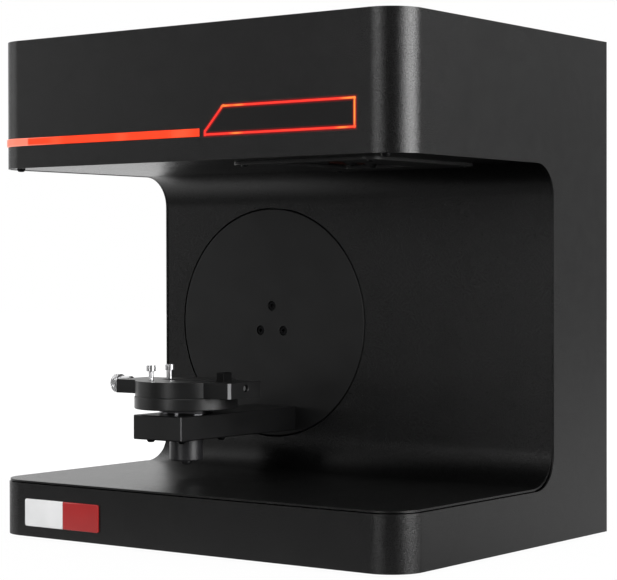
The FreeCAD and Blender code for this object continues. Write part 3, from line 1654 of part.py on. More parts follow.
def make_optics():
    """Projector and cameras, each with a barrel and a front glass."""
    d = dim
    back = bracket_far
    tall = d.projector_tall / 2
    wide = d.projector_width / 2
    projector = Piece("projector_body")
    projector.pad("XY", [rectangle(-tall, tall, -wide, wide)], back, back + d.projector_length)
    fin = d.projector_fin
    groove = rectangle(-tall + fin, -tall + fin * 2, -wide - over, wide + over)
    projector.pocket("XY", [groove], back + d.projector_length * 0.6, back + d.projector_length + over)
    projector.repeat_along("X", 12, d.projector_tall - fin * 3)
    place_optics(projector.body)
    keep("projector_body", projector.body)
    barrel = turned("projector_lens", lens_profile(d.projector_lens_radius))
    place_optics(barrel.body)
    keep("projector_lens", barrel.body)
    middle_glass = turned("front_glass_1", glass_profile(d.projector_lens_radius))
    place_optics(middle_glass.body)
    half = d.camera_side / 2
    bodies, lenses, glasses = [], [], [middle_glass]
    for side in (-1, 1):
        camera = Piece("camera_body_%d" % (side + 1))
        camera.pad("XY", [rectangle(-half, half, -half, half)], back, back + d.camera_length)
        bodies.append(camera)
        lenses.append(turned("camera_lens_%d" % (side + 1), lens_profile(d.camera_lens_radius)))
        glasses.append(turned("front_glass_%d" % (side + 1), glass_profile(d.camera_lens_radius)))
        for piece in (bodies[-1], lenses[-1], glasses[-1]):
            place_optics(piece.body, side)
    gather("camera_bodies", bodies)
    gather("camera_lenses", lenses)
    gather("optics_glasses", glasses)


def centred(x, z, width, tall, radius=None):
    """A rectangle about a centre in the rear panel's plane."""
    return rectangle(x - width / 2, x + width / 2, z - tall / 2, z + tall / 2, radius)


def make_inlet():
    """Three-pin mains inlet through the rear panel."""
    d = dim
    x, z = inlet_x, d.port_row_height
    face = half_depth + d.inlet_flange_sheet
    inlet = Piece("mains_inlet")
    inlet.pad("XZ", [centred(x, z, d.inlet_flange_width, d.inlet_flange_tall, d.badge_corner)],
              half_depth, face)
    inlet.pad("XZ", [centred(x, z, d.inlet_body_width, d.inlet_body_tall)],
              half_depth - d.inlet_body_length, half_depth)
    x0, x1 = x - d.inlet_cavity_width / 2, x + d.inlet_cavity_width / 2
    z0, z1 = z - d.inlet_cavity_tall / 2, z + d.inlet_cavity_tall / 2
    c = d.inlet_cavity_bevel
    floor = face - d.inlet_cavity_depth
    cavity = [(x0, z0), (x1, z0), (x1, z1 - c), (x1 - c, z1), (x0 + c, z1), (x0, z1 - c)]
    inlet.pocket("XZ", [cavity], floor, face + over)
    keep("mains_inlet", inlet.body)
    pins = []
    spots = [(-d.inlet_pin_spacing / 2, -d.inlet_pin_stagger / 2), (ZERO, d.inlet_pin_stagger / 2),
             (d.inlet_pin_spacing / 2, -d.inlet_pin_stagger / 2)]
    for i, (dx, dz) in enumerate(spots):
        pin = Piece("inlet_pin_%d" % i)
        pin.pad("XZ", [centred(x + dx, z + dz, d.inlet_pin_width, d.inlet_pin_tall)],
                floor, face - d.inlet_pin_recess)
        pins.append(pin)
    gather("inlet_pins", pins)


def make_switch():
    """Rocker switch beside the inlet: fixed housing and a rocker on stub axles."""
    d = dim
    x, z = switch_x, d.port_row_height
    face = half_depth + d.inlet_flange_sheet
    pivot_y = half_depth - d.rocker_thick / 2
    housing = Piece("switch_housing")
    housing.pad("XZ", [centred(x, z, d.switch_flange_width, d.switch_flange_tall, d.badge_corner)],
                half_depth, face)
    housing.pad("XZ", [centred(x, z, d.switch_body_width, d.switch_body_tall)],
                half_depth - d.switch_body_length, half_depth)
    well_width = d.rocker_width + d.rocker_gap * 2
    well_tall = d.rocker_tall + d.rocker_gap * 6
    housing.pocket("XZ", [centred(x, z, well_width, well_tall)], half_depth - d.rocker_well, face + over)
    hole = circle(pivot_y, z, d.rocker_pin_radius + d.running_gap)
    reach = well_width / 2 + d.rocker_pin_reach
    housing.pocket("YZ", [hole], x - reach, x + reach)
    keep("switch_housing", housing.body)
    half = d.rocker_tall / 2
    back = -d.rocker_thick / 2
    front = half_depth + d.inlet_flange_sheet - pivot_y
    rocker = Piece("switch_rocker")
    profile = [(back, -half), (front, -half), (front - d.rocker_dip, ZERO), (front, half), (back, half)]
    rocker.pad("YZ", [profile], -d.rocker_width / 2, d.rocker_width / 2)
    axle = d.rocker_width / 2 + d.rocker_gap + d.rocker_pin_reach - d.running_gap * 2
    rocker.pad("YZ", [circle(ZERO, ZERO, d.rocker_pin_radius)], -axle, axle)
    place(rocker.body, x, pivot_y, z, turned_about((1, 0, 0), -ROCKER_ANGLE))
    keep("switch_rocker", rocker.body)


def make_usb():
    """A square data port: metal shell and its tongue in one piece with the back wall."""
    d = dim
    x, z = usb_x, d.port_row_height
    front = half_depth + d.inlet_flange_sheet / 2
    port = Piece("data_port")
    port.pad("XZ", [centred(x, z, d.usb_width, d.usb_tall)], front - d.usb_length, front)
    inner = centred(x, z, d.usb_width - d.usb_wall * 2, d.usb_tall - d.usb_wall * 2)
    port.pocket("XZ", [inner], front - d.usb_length + d.usb_wall * 2, front + over)
    tongue = centred(x, z, d.usb_tongue_width, d.usb_tongue_tall)
    port.pad("XZ", [tongue], front - d.usb_length + d.usb_wall, front - d.usb_wall * 2)
    keep("data_port", port.body)


def make_boards():
    """Control board on stand-offs, its parts, and the boxed power supply, all in the base."""
    d = dim
    x0 = d.board_inset - half_width
    y0 = -d.board_front
    x1 = x0 + d.board_width
    y1 = y0 + d.board_depth
    low = bottom_inside + d.standoff_height
    high = low + d.board_sheet
    board = Piece("control_board")
    board.pad("XY", [rectangle(x0, x1, y0, y1)], low, high)
    keep("control_board", board.body)
    i = d.standoff_inset
    spots = [(x0 + i, y0 + i), (x1 - i, y0 + i), (x1 - i, y1 - i), (x0 + i, y1 - i)]
    posts = []
    for n, (x, y) in enumerate(spots):
        posts.append(turned("standoff_%d" % n, [
            (ZERO, ZERO), (d.standoff_radius, ZERO), (d.standoff_radius, d.standoff_height),
            (ZERO, d.standoff_height)], x, y, bottom_inside))
    gather("board_standoffs", posts)
    parts = []
    for n, (across_share, along_share) in enumerate(CHIP_SHARES):
        cx = x0 + d.board_width * across_share
        cy = y0 + d.board_depth * along_share
        chip = Piece("board_chip_%d" % n)
        chip.pad("XY", [rectangle(cx, cx + d.chip_side, cy, cy + d.chip_side)], high, high + d.chip_height)
        parts.append(chip)
    for n, along_share in enumerate(PLUG_SHARES):
        cy = y0 + d.board_depth * along_share
        plug = Piece("board_plug_%d" % n)
        plug.pad("XY", [rectangle(x1 - d.plug_width, x1 - d.usb_wall, cy, cy + d.plug_width)],
                 high, high + d.plug_height)
        parts.append(plug)
    gather("board_components", parts)
    supply = Piece("power_supply")
    left = x1 + d.supply_gap
    supply.pad("XY", [rectangle(left, left + d.supply_width,
                                -d.supply_front, -d.supply_front + d.supply_depth)],
               bottom_inside, bottom_inside + d.supply_height)
    supply.chamfer(lambda middle, run: near(middle.z, bottom_inside + d.supply_height), d.supply_bevel)
    keep("power_supply", supply.body)


make_wrap()
make_liner()
make_covers()
make_feet()
make_lights()
make_badge()
make_tilt_disc()
make_tilt_shaft()
make_gears()
make_tilt_motor()
make_frame()
make_arm()
make_table_drive()
make_turntable()
make_clamp()
make_bezel()
make_bracket()
make_optics()
make_inlet()
make_switch()
make_usb()
make_boards()
doc.recompute()

broken = [thing.Label for thing in doc.Objects if "Invalid" in thing.State or "Error" in thing.State]
if broken:
    raise ValueError("these objects failed: " + ", ".join(broken))
for label, thing in nodes.items():
    if thing.Shape.isNull() or not thing.Shape.isValid() or not thing.Shape.Solids:
        raise ValueError(label + " has no valid solid")

os.makedirs("parts", exist_ok=True)
for label, thing in nodes.items():
    thing.Shape.exportStep(os.path.join("parts", label + ".step"))
print("%d nodes written" % len(nodes))
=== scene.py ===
import math

import bmesh
import bpy
from mathutils import Matrix, Vector


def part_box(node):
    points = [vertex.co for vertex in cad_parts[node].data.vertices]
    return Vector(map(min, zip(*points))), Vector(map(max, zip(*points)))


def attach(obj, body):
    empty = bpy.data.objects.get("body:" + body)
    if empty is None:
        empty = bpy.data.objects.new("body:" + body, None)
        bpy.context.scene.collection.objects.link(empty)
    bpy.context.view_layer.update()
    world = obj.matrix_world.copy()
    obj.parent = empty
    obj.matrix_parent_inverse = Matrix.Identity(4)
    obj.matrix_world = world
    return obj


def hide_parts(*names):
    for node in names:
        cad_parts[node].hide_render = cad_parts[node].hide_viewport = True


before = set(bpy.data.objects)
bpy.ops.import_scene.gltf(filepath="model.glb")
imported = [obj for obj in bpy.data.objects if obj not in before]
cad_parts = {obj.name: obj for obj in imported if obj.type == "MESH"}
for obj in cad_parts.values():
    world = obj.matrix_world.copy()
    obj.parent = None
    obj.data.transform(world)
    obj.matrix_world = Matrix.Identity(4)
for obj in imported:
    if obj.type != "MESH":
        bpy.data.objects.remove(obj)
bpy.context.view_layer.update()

# Dresses the desktop 3D scanner: finishes for its sheet metal, anodised drive and optics,
# threads, knurls and screw sockets that the solids leave out, and a plain studio.
# Everything is in metres, in the frame of the solids: X to the right, Y to the back, Z up.

MM = 0.001
BLACK = (0.0, 0.0, 0.0)
WHITE = (1.0, 1.0, 1.0)


class Wire:
    """A value in a node tree. Arithmetic on it adds Math nodes."""

    def __init__(self, nodes, socket):
        self.nodes = nodes
        self.socket = socket

    def calc(self, operation, *values):
        node = self.nodes.add("ShaderNodeMath", {"operation": operation}, dict(enumerate(values)))
        return Wire(self.nodes, node.outputs[0])

    def __add__(self, other):
        return self.calc("ADD", self, other)

    def __radd__(self, other):
        return self.calc("ADD", other, self)

    def __sub__(self, other):
        return self.calc("SUBTRACT", self, other)

    def __rsub__(self, other):
        return self.calc("SUBTRACT", other, self)

    def __mul__(self, other):
        return self.calc("MULTIPLY", self, other)

    def __rmul__(self, other):
        return self.calc("MULTIPLY", other, self)

    def __neg__(self):
        return self.calc("SUBTRACT", 0.0, self)

    def __abs__(self):
        return self.calc("ABSOLUTE", self)

    def sine(self):
        return self.calc("SINE", self)

    def greater(self, other):
        """The greater one of two values."""
        return self.calc("MAXIMUM", self, other)

    def lesser(self, other):
        """The lesser one of two values."""
        return self.calc("MINIMUM", self, other)

    def between(self, low, high):
        """0 at or below low, 1 at or above high, and smooth in between."""
        node = self.nodes.add("ShaderNodeMapRange", {"interpolation_type": "SMOOTHSTEP"},
                              {"Value": self, "From Min": low, "From Max": high})
        return Wire(self.nodes, node.outputs["Result"])


class Nodes:
    """The nodes of a material or of the world."""

    def __init__(self, tree):
        self.tree = tree

    def feed(self, socket, value):
        if isinstance(value, Wire):
            self.tree.links.new(value.socket, socket)
        elif socket.type == "RGBA" and len(value) == 3:
            socket.default_value = (*value, 1.0)
        else:
            socket.default_value = value

    def add(self, kind, settings=None, values=None):
        """One node: its settings first, then the values or wires of its sockets."""
        node = self.tree.nodes.new(kind)
        for key, value in (settings or {}).items():
            setattr(node, key, value)
        for key, value in (values or {}).items():
            self.feed(node.inputs[key], value)
        return node

    def place(self, kind):
        """A place or a direction that the Texture Coordinate node gives."""
        return Wire(self, self.add("ShaderNodeTexCoord").outputs[kind])

    def ray(self, kind):
        """1 for rays of a kind."""
        return Wire(self, self.add("ShaderNodeLightPath").outputs["Is %s Ray" % kind])

    def spot(self, centre=(0, 0, 0), stretch=(1, 1, 1), turn=(0, 0, 0)):
        """Object coordinates, centred, turned and stretched."""
        move = self.add("ShaderNodeVectorMath", {"operation": "SUBTRACT"},
                        {0: self.place("Object"), 1: centre})
        node = self.add("ShaderNodeMapping", {},
                        {"Vector": Wire(self, move.outputs[0]), "Rotation": turn, "Scale": stretch})
        return Wire(self, node.outputs["Vector"])

    def axes(self, spot):
        """The three numbers of a place."""
        node = self.add("ShaderNodeSeparateXYZ", {}, {"Vector": spot})
        return [Wire(self, out) for out in node.outputs]

    def distance(self, spot, other):
        """How far a place is from another."""
        node = self.add("ShaderNodeVectorMath", {"operation": "DISTANCE"}, {0: spot, 1: other})
        return Wire(self, node.outputs["Value"])

    def radius(self, spot, axis):
        """How far a place is from an axis through the origin."""
        keep = [0.0 if i == axis else 1.0 for i in range(3)]
        flat = self.add("ShaderNodeVectorMath", {"operation": "MULTIPLY"}, {0: spot, 1: keep})
        return self.distance(Wire(self, flat.outputs[0]), BLACK)

    def noise(self, spot, scale, detail=2.0, roughness=0.5):
        node = self.add("ShaderNodeTexNoise", {},
                        {"Vector": spot, "Scale": scale, "Detail": detail, "Roughness": roughness})
        return Wire(self, node.outputs["Fac"])

    def blend(self, factor, first, second):
        """A colour between two."""
        node = self.add("ShaderNodeMix", {"data_type": "RGBA"}, {0: factor, 6: first, 7: second})
        return Wire(self, node.outputs[2])

    def mix(self, factor, first, second, out):
        """Two shader nodes, mixed and sent out."""
        mixed = self.add("ShaderNodeMixShader", {}, {0: factor})
        self.tree.links.new(first.outputs[0], mixed.inputs[1])
        self.tree.links.new(second.outputs[0], mixed.inputs[2])
        self.tree.links.new(mixed.outputs[0], out.inputs["Surface"])


class Finish(Nodes):
    """A procedural material on the shader's own sockets."""

    def __init__(self, name, colour, roughness, metallic=0.0, **constants):
        self.material = bpy.data.materials.new(name)
        self.material.use_nodes = True
        super().__init__(self.material.node_tree)
        self.shader = self.tree.nodes["Principled BSDF"]
        self.set("Base Color", colour)
        self.set("Roughness", roughness)
        self.set("Metallic", metallic)
        for socket, value in constants.items():
            self.set(socket.replace("_", " ").title().replace("Ior", "IOR"), value)

    def set(self, socket, value):
        self.feed(self.shader.inputs[socket], value)

    def edges(self):
        """1 on the bevels of the upright edges: the mask of a painted highlight, standing for the
        light that these bevels catch.
        """
        across, deep, _ = self.axes(self.place("Normal"))
        return abs(across * deep).between(0.30, 0.50)

    def relief(self, height, strength, depth):
        """A bump from a height of 0 to 1, its full depth in metres."""
        node = self.add("ShaderNodeBump", {},
                        {"Height": height, "Strength": strength, "Distance": depth})
        self.set("Normal", Wire(self, node.outputs["Normal"]))
        return self


# Grain of the finishes in cycles a metre, and the full depth of its bumps
PEEL_GRAIN, PEEL_DEPTH = 1900.0, 0.15 * MM
SATIN_GRAIN, SATIN_DEPTH = 2600.0, 0.06 * MM
DRAWN_GRAIN, DRAWN_DEPTH = 900.0, 0.03 * MM
SKIN_GRAIN, SKIN_DEPTH = 1600.0, 0.05 * MM
HAZE_GRAIN, HAZE_DEPTH = 90.0, 0.1 * MM


def times(colour, share):
    """A colour made darker or lighter, at most white."""
    return [min(1.0, part * share) for part in colour]


def powder_coat(name, colour, roughness, grain=1.0, specular=0.5):
    """Baked powder paint: a fine orange-peel grain with a slightly cloudy tone and sheen."""
    made = Finish(name, colour, roughness, specular_ior_level=specular)
    spot = made.spot()
    peel = made.noise(spot, PEEL_GRAIN, 1.0, 0.5)
    cloud = made.noise(spot, 14.0, 3.0, 0.55)
    speckle = (peel * 0.85 + cloud * 0.15).between(0.35, 0.68)
    made.set("Base Color", made.blend(speckle, times(colour, 0.2), times(colour, 3.0)))
    made.set("Roughness", roughness - 0.08 + cloud * 0.04 + peel * 0.13)
    return made.relief(peel, 1.0, PEEL_DEPTH * grain)


def anodised(name, colour, roughness, axis=None, centre=(0, 0, 0), pitch=0.7 * MM, specular=0.5,
             turn=(0, 0, 0), edge_glint=None):
    """Black anodised aluminium: a satin skin with the lathe's rings about an axis, if it has one.

    The last argument gives the radius outside which the upright edges get a painted highlight,
    standing for light on their bevels, and how bright it is."""
    made = Finish(name, colour, roughness, specular_ior_level=specular)
    spot = made.spot(centre=centre, turn=turn)
    fine = made.noise(spot, SATIN_GRAIN, 2.0, 0.6)
    cloud = made.noise(spot, 45.0, 2.0, 0.5)
    skin = made.blend(cloud.between(0.3, 0.7), times(colour, 0.88), times(colour, 1.14))
    if edge_glint is not None:
        start, bright = edge_glint
        past = made.radius(spot, 2).between(start, start + 0.6 * MM)
        # painted highlight: the upright edges' bevels are made paler in the base colour, standing
        # for the light they catch
        skin = made.blend(made.edges() * past, skin, (bright, bright, bright * 1.02))
    made.set("Base Color", skin)
    made.set("Roughness", roughness - 0.05 + cloud * 0.06 + fine * 0.05)
    height = fine * 0.5
    if axis is not None:
        along = made.axes(spot)[axis]
        rings = ((made.radius(spot, axis) + along) * (2 * math.pi / pitch)).sine() * 0.5 + 0.5
        height = rings * 0.7 + fine * 0.3
    return made.relief(height, 0.3, SATIN_DEPTH)


def bare_metal(name, colour, roughness, grain=(1, 1, 1), strength=0.12):
    """Bright metal with a drawn or ground grain along its long direction."""
    made = Finish(name, colour, roughness, metallic=1.0)
    streak = made.noise(made.spot(stretch=grain), DRAWN_GRAIN, 3.0, 0.6)
    cloud = made.noise(made.spot(), 60.0, 2.0, 0.5)
    made.set("Base Color", made.blend(cloud.between(0.25, 0.75), times(colour, 0.9), colour))
    made.set("Roughness", roughness - 0.03 + streak * 0.08)
    return made.relief(streak, strength, DRAWN_DEPTH)


def moulded(name, colour, roughness, grain=0.5, coat=0.0):
    """Moulded plastic or resin with a faint texture."""
    made = Finish(name, colour, roughness, coat_weight=coat, coat_roughness=0.04)
    skin = made.noise(made.spot(), SKIN_GRAIN, 2.0, 0.5)
    cloud = made.noise(made.spot(), 30.0, 2.0, 0.5)
    made.set("Base Color",
             made.blend(cloud.between(0.3, 0.7), times(colour, 0.95), times(colour, 1.05)))
    made.set("Roughness", roughness - 0.02 + skin * 0.05)
    return made.relief(skin, 0.15 * grain, SKIN_DEPTH)


def coated_glass():
    """The lens coating: a violet to green sheen that shifts over the crowned face."""
    made = Finish("coated_glass", (0.006, 0.005, 0.012), 0.03, coat_weight=1.0, coat_roughness=0.02,
                  ior=1.6)
    ring = made.noise(made.spot(), 60.0, 1.0, 0.4)
    made.set("Base Color",
             made.blend(ring.between(0.35, 0.65), (0.012, 0.006, 0.030), (0.004, 0.014, 0.016)))
    return made


# The lit pieces: where their outer side begins, in front and at the left. The strip: its two
# rims, the start of its end with a painted highlight, and the run over which the painted glints on
# its rims grow paler towards that end.
LIT_FRONT, LIT_LEFT = (0.1488, 0.1494), (0.170, 0.174)
UPPER_RIM, LOWER_RIM = (0.3232, 0.3237), (0.3183, 0.3188)
GLINT_END, GLINT_RUN = (0.160, 0.162), (0.120, 0.160)


def lit_diffuser(name, colour, warm, lamps, reach, paint):
    """A red diffuser lit from behind, warmer where its lamps sit, and dark inside the head."""
    made = Finish(name, times(colour, 0.3), 0.38, emission_strength=1.0, specular_ior_level=0.25)
    spot = made.spot()
    haze = made.noise(spot, HAZE_GRAIN, 2.0, 0.5)
    heat = haze * 0.15
    for lamp in lamps:
        heat = heat + (1 - made.distance(spot, lamp).between(0.0, reach)) * 0.8
    across, deep, up = made.axes(spot)
    outside = (-deep).between(*LIT_FRONT).greater((-across).between(*LIT_LEFT))
    tone = paint(made, across, up, made.blend(heat, colour, warm))
    made.set("Emission Color", made.blend(outside, BLACK, tone))
    return made.relief(haze, 0.05, HAZE_DEPTH)


def painted_end_glint(made, across, up, tone):
    """The strip's left end and the rims near it glow paler: a painted highlight standing for the
    light that their rounded corner and edges reflect.
    """
    # painted highlight: a paler glow on the rims near the left end and on the end itself, standing
    # for reflections
    rim_glints = up.between(*UPPER_RIM) + 1 - up.between(*LOWER_RIM)
    end = (-across).between(*GLINT_END)
    near_end = (-across).between(*GLINT_RUN)
    return made.blend(end, made.blend(rim_glints * near_end * 0.5, tone, (1.0, 0.4, 0.3)),
                      made.blend(rim_glints * 0.35, (1.0, 0.25, 0.17), (1.0, 0.50, 0.40)))


# The sign's lit line: its outer sides, half its width, and its outer edge that slants down to
# the left; and where the head's painted front begins
SIGN_LEFT, SIGN_RIGHT, SIGN_LOW, SIGN_HIGH = 0.0219, 0.1618, 0.318, 0.341
HALF_LINE = 1.15 * MM
SLANT_X, SLANT_Z, SLANT_NORMAL = 0.0396, 0.341, (0.7317, -0.6816)
HEAD_SKIN = (0.1470, 0.1476)


def sign_slant(across, up):
    """How far a place is inside the slanted outer edge of the sign's lit line."""
    return (across - SLANT_X) * SLANT_NORMAL[0] + (up - SLANT_Z) * SLANT_NORMAL[1]


def sign_gap(across, up):
    """The distance from the middle of the sign's lit line."""
    gap = abs(up - (SIGN_HIGH - HALF_LINE))
    for away in (up - (SIGN_LOW + HALF_LINE), across - (SIGN_RIGHT - HALF_LINE),
                 across - (SIGN_LEFT + HALF_LINE), sign_slant(across, up) - HALF_LINE):
        gap = gap.lesser(abs(away))
    return gap


def redder_rim(made, across, up, tone):
    """The sign's lit line is a deep red at its two edges."""
    return made.blend(sign_gap(across, up).between(0.45 * MM, 0.95 * MM), tone,
                      (0.24, 0.006, 0.008))


def spill(made, outer, reach=1.6 * MM, colour=(0.12, 0.0015, 0.0020)):
    """The sign's light on the surface beside its line, on the outer or the inner side."""
    across, deep, up = made.axes(made.spot())
    if outer:
        near = across.between(SIGN_LEFT - reach, SIGN_LEFT)
        near = near * (1 - across.between(SIGN_RIGHT, SIGN_RIGHT + reach))
        near = near * up.between(SIGN_LOW - reach, SIGN_LOW)
        near = near * (1 - up.between(SIGN_HIGH, SIGN_HIGH + reach))
        near = near * sign_slant(across, up).between(-reach, 0.0) * (-deep).between(*HEAD_SKIN)
    else:
        near = 1 - sign_gap(across, up).between(HALF_LINE, HALF_LINE + reach)
    made.set("Emission Color", made.blend(near, BLACK, colour))
    made.set("Emission Strength", 1.0)
    return made


STRIP_LAMPS = [(-0.005, -0.150, 0.321), (0.004, -0.150, 0.321), (-0.060, -0.150, 0.321),
               (-0.130, -0.150, 0.321), (-0.195, -0.146, 0.321)]
FRAME_LAMPS = [(0.161, -0.150, 0.338), (0.161, -0.150, 0.331), (0.161, -0.150, 0.325),
               (0.154, -0.150, 0.341), (0.150, -0.150, 0.319), (0.043, -0.150, 0.341),
               (0.055, -0.150, 0.341), (0.053, -0.150, 0.319)]
TILT_AXIS, TABLE_AXIS = (-0.08, 0, 0.172), (-0.08, -0.051, 0)
OPTICS_SPOT, OPTICS_TURN = (-0.080, 0, 0.150), (0, -math.pi / 4, 0)
CABINET_BLACK = (0.0014, 0.00135, 0.0014)

FINISHES = {
    "cabinet": powder_coat("cabinet_powder_coat", CABINET_BLACK, 0.27),
    "wrap": spill(powder_coat("wrap_powder_coat", CABINET_BLACK, 0.27), True),
    # painted shade: the liner's paint is a darker copy of the cabinet black, standing for the shade
    # inside the chamber
    "liner": powder_coat("liner_powder_coat_shaded", (0.0011, 0.0011, 0.0011), 0.28, 1.1, 0.47),
    "back": powder_coat("rear_powder_coat", (0.0050, 0.0050, 0.0051), 0.34),
    "disc": anodised("tilt_disc_skin", (0.0045, 0.0045, 0.0046), 0.34, 1, TILT_AXIS,
                     1.1 * MM, 0.60),
    "arm": anodised("arm_skin", (0.0050, 0.0050, 0.0052), 0.30, specular=0.75, edge_glint=(0.0, 0.07)),
    "table": anodised("turntable_skin", (0.0055, 0.0055, 0.0057), 0.34, 2, TABLE_AXIS,
                      0.8 * MM, 0.48),
    "clamp": anodised("clamp_skin", (0.0050, 0.0050, 0.0052), 0.34, 2, TABLE_AXIS,
                      0.8 * MM, 0.42, edge_glint=(0.0423, 0.19)),
    "jaw": anodised("jaw_skin", (0.0025, 0.0025, 0.0026), 0.36, specular=0.15),
    "barrel": anodised("barrel_skin", (0.0030, 0.0030, 0.0031), 0.44, 2, OPTICS_SPOT,
                       1.2 * MM, 0.22, OPTICS_TURN),
    "bracket": anodised("bracket_skin", (0.0035, 0.0035, 0.0036), 0.48, specular=0.2),
    "strip": lit_diffuser("strip_glow", (1.0, 0.047, 0.010), (1.0, 0.090, 0.030), STRIP_LAMPS,
                          11.0 * MM, painted_end_glint),
    "frame": lit_diffuser("sign_glow", (0.96, 0.019, 0.020), (1.0, 0.34, 0.050), FRAME_LAMPS,
                          8.5 * MM, redder_rim),
    "window": spill(moulded("sign_window", (0.0075, 0.0070, 0.0070), 0.26, 0.2, 0.4), False),
    "resin_white": moulded("badge_resin_white", (0.88, 0.88, 0.88), 0.22, 0.1, 0.7),
    "resin_red": moulded("badge_resin_red", (0.41, 0.016, 0.016), 0.22, 0.1, 0.7),
    "rubber": moulded("foot_rubber", (0.018, 0.018, 0.018), 0.75, 1.5),
    "plastic": moulded("black_moulding", (0.010, 0.010, 0.010), 0.40, 1.0),
    "rocker": moulded("rocker_gloss", (0.012, 0.012, 0.012), 0.18, 0.2, 0.3),
    "motor": powder_coat("motor_case", (0.010, 0.010, 0.011), 0.32, 0.5),
    "black_screw": bare_metal("black_oxide", (0.022, 0.022, 0.023), 0.32),
    "blued": bare_metal("blued_steel", (0.13, 0.13, 0.135), 0.05, (1, 1, 6), 0.02),
    "polished": bare_metal("polished_steel", (0.78, 0.78, 0.79), 0.12, (1, 1, 6), 0.05),
    "turned": bare_metal("turned_steel", (0.74, 0.74, 0.75), 0.30, (8, 1, 1), 0.10),
    "plain": bare_metal("zinc_plate", (0.52, 0.53, 0.54), 0.38, (1, 4, 1)),
    "brass": bare_metal("brass_turning", (0.62, 0.45, 0.17), 0.28, (1, 6, 1)),
    "board": moulded("solder_mask", (0.02, 0.12, 0.05), 0.35, 0.6, 0.3),
    "sheet": bare_metal("supply_case", (0.60, 0.61, 0.62), 0.34, (1, 5, 1)),
    "glass": coated_glass(),
}

# Each solid's finish, and the width of the rounding on its edges in millimetres
DRESS = {
    "outer_wrap": ("wrap", 0.35),
    "inner_liner": ("liner", 0.35),
    "top_cover": ("cabinet", 0.3),
    "bottom_plate": ("back", 0.3),
    "rear_panel": ("back", 0.3),
    "rear_screws": ("black_screw", 0.15),
    "rubber_feet": ("rubber", 0.3),
    "light_strip": ("strip", 0.35),
    "light_strip_end": ("strip", 0.3),
    "sign_frame": ("frame", 0.25),
    "sign_plate": ("window", 0.2),
    "badge_tile_left": ("resin_white", 0.3),
    "badge_tile_right": ("resin_red", 0.3),
    "liner_screws": ("black_screw", 0.15),
    "tilt_bearing_housing": ("plain", 0.3),
    "housing_screws": ("black_screw", 0.15),
    "tilt_bearing_outer_races": ("polished", 0.15),
    "tilt_motor": ("motor", 0.3),
    "motor_screws": ("black_screw", 0.15),
    "column_frame": ("plain", 0.3),
    "optics_bezel": ("plastic", 0.3),
    "bezel_screws": ("black_screw", 0.15),
    "optics_bracket": ("bracket", 0.3),
    "projector_body": ("bracket", 0.3),
    "projector_lens": ("barrel", 0.3),
    "optics_glasses": ("glass", None),
    "camera_bodies": ("bracket", 0.4),
    "camera_lenses": ("barrel", 0.3),
    "mains_inlet": ("plastic", 0.3),
    "inlet_pins": ("polished", 0.2),
    "switch_housing": ("plastic", 0.3),
    "data_port": ("plain", 0.15),
    "control_board": ("board", None),
    "board_standoffs": ("brass", 0.2),
    "board_components": ("plastic", 0.2),
    "power_supply": ("sheet", 0.3),
    "tilt_disc": ("disc", 0.25),
    "tilt_disc_screws": ("black_screw", 0.2),
    "arm_bolts": ("black_screw", 0.2),
    "tilt_shaft": ("plain", 0.3),
    "tilt_shaft_nut": ("plain", 0.3),
    "tilt_bearing_inner_races": ("polished", 0.15),
    "tilt_gear": ("plain", None),
    "arm_housing": ("arm", 0.5),
    "arm_cover": ("arm", 0.2),
    "arm_cover_screws": ("black_screw", 0.15),
    "table_motor": ("motor", 0.3),
    "table_bearing_outer_races": ("polished", 0.15),
    "steel_ring": ("blued", 0.15),
    "tilt_pinion": ("brass", None),
    "tilt_motor_shaft": ("plain", 0.2),
    "table_bearing_inner_races": ("polished", 0.15),
    "turntable_spindle": ("plain", 0.2),
    "turntable_disc": ("table", 0.35),
    "clamp_body": ("clamp", 0.5),
    "clamp_posts": ("turned", 0.2),
    "clamp_jaw": ("jaw", 0.15),
    "clamp_lead_screw": ("turned", 0.6),
    "clamp_knob": ("turned", None),
    "switch_rocker": ("rocker", 0.3),
}


TOUCHING = 1e-6


def dress(node, finish, edge):
    """Give a solid its finish and, where it has an edge width, softly rounded edges."""
    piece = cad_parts[node]
    piece.data.materials.clear()
    piece.data.materials.append(FINISHES[finish].material)
    weld = piece.modifiers.new("weld", "WELD")
    weld.merge_threshold = TOUCHING
    for polygon in piece.data.polygons:
        polygon.use_smooth = True
    if edge is not None:
        flat = piece.modifiers.new("flat", "DECIMATE")
        flat.decimate_type = "DISSOLVE"
        flat.angle_limit = math.radians(0.2)
        bevel = piece.modifiers.new("edge", "BEVEL")
        bevel.width = edge * MM
        bevel.segments = 3 if edge > 0.3 else 2
        bevel.limit_method = "ANGLE"
        bevel.angle_limit = math.radians(32)
        bevel.harden_normals = True
    shade = piece.modifiers.new("shade", "WEIGHTED_NORMAL")
    shade.weight = 60
    shade.keep_sharp = True


for node_name, (finish_name, edge_width) in DRESS.items():
    dress(node_name, finish_name, edge_width)


def finish_piece(name, node, shape, body, finish, smooth_angle):
    """Turn a bmesh into a piece that rides on a body and stands for a node of the solids.

    Its faces are smooth between edges sharper than the angle."""
    bmesh.ops.remove_doubles(shape, verts=shape.verts, dist=1e-7)
    bmesh.ops.recalc_face_normals(shape, faces=shape.faces)
    mesh = bpy.data.meshes.new(name)
    shape.to_mesh(mesh)
    shape.free()
    for polygon in mesh.polygons:
        polygon.use_smooth = True
    mesh.set_sharp_from_angle(angle=math.radians(smooth_angle))
    mesh.materials.append(FINISHES[finish].material)
    piece = bpy.data.objects.new(name, mesh)
    bpy.context.scene.collection.objects.link(piece)
    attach(piece, body)
    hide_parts(node)


def round_off(shape, edges, offset, segments, profile=0.5):
    """Round some edges of a shape."""
    bmesh.ops.bevel(shape, geom=list(edges), offset=offset, segments=segments, affect="EDGES",
                    profile=profile, material=-1)


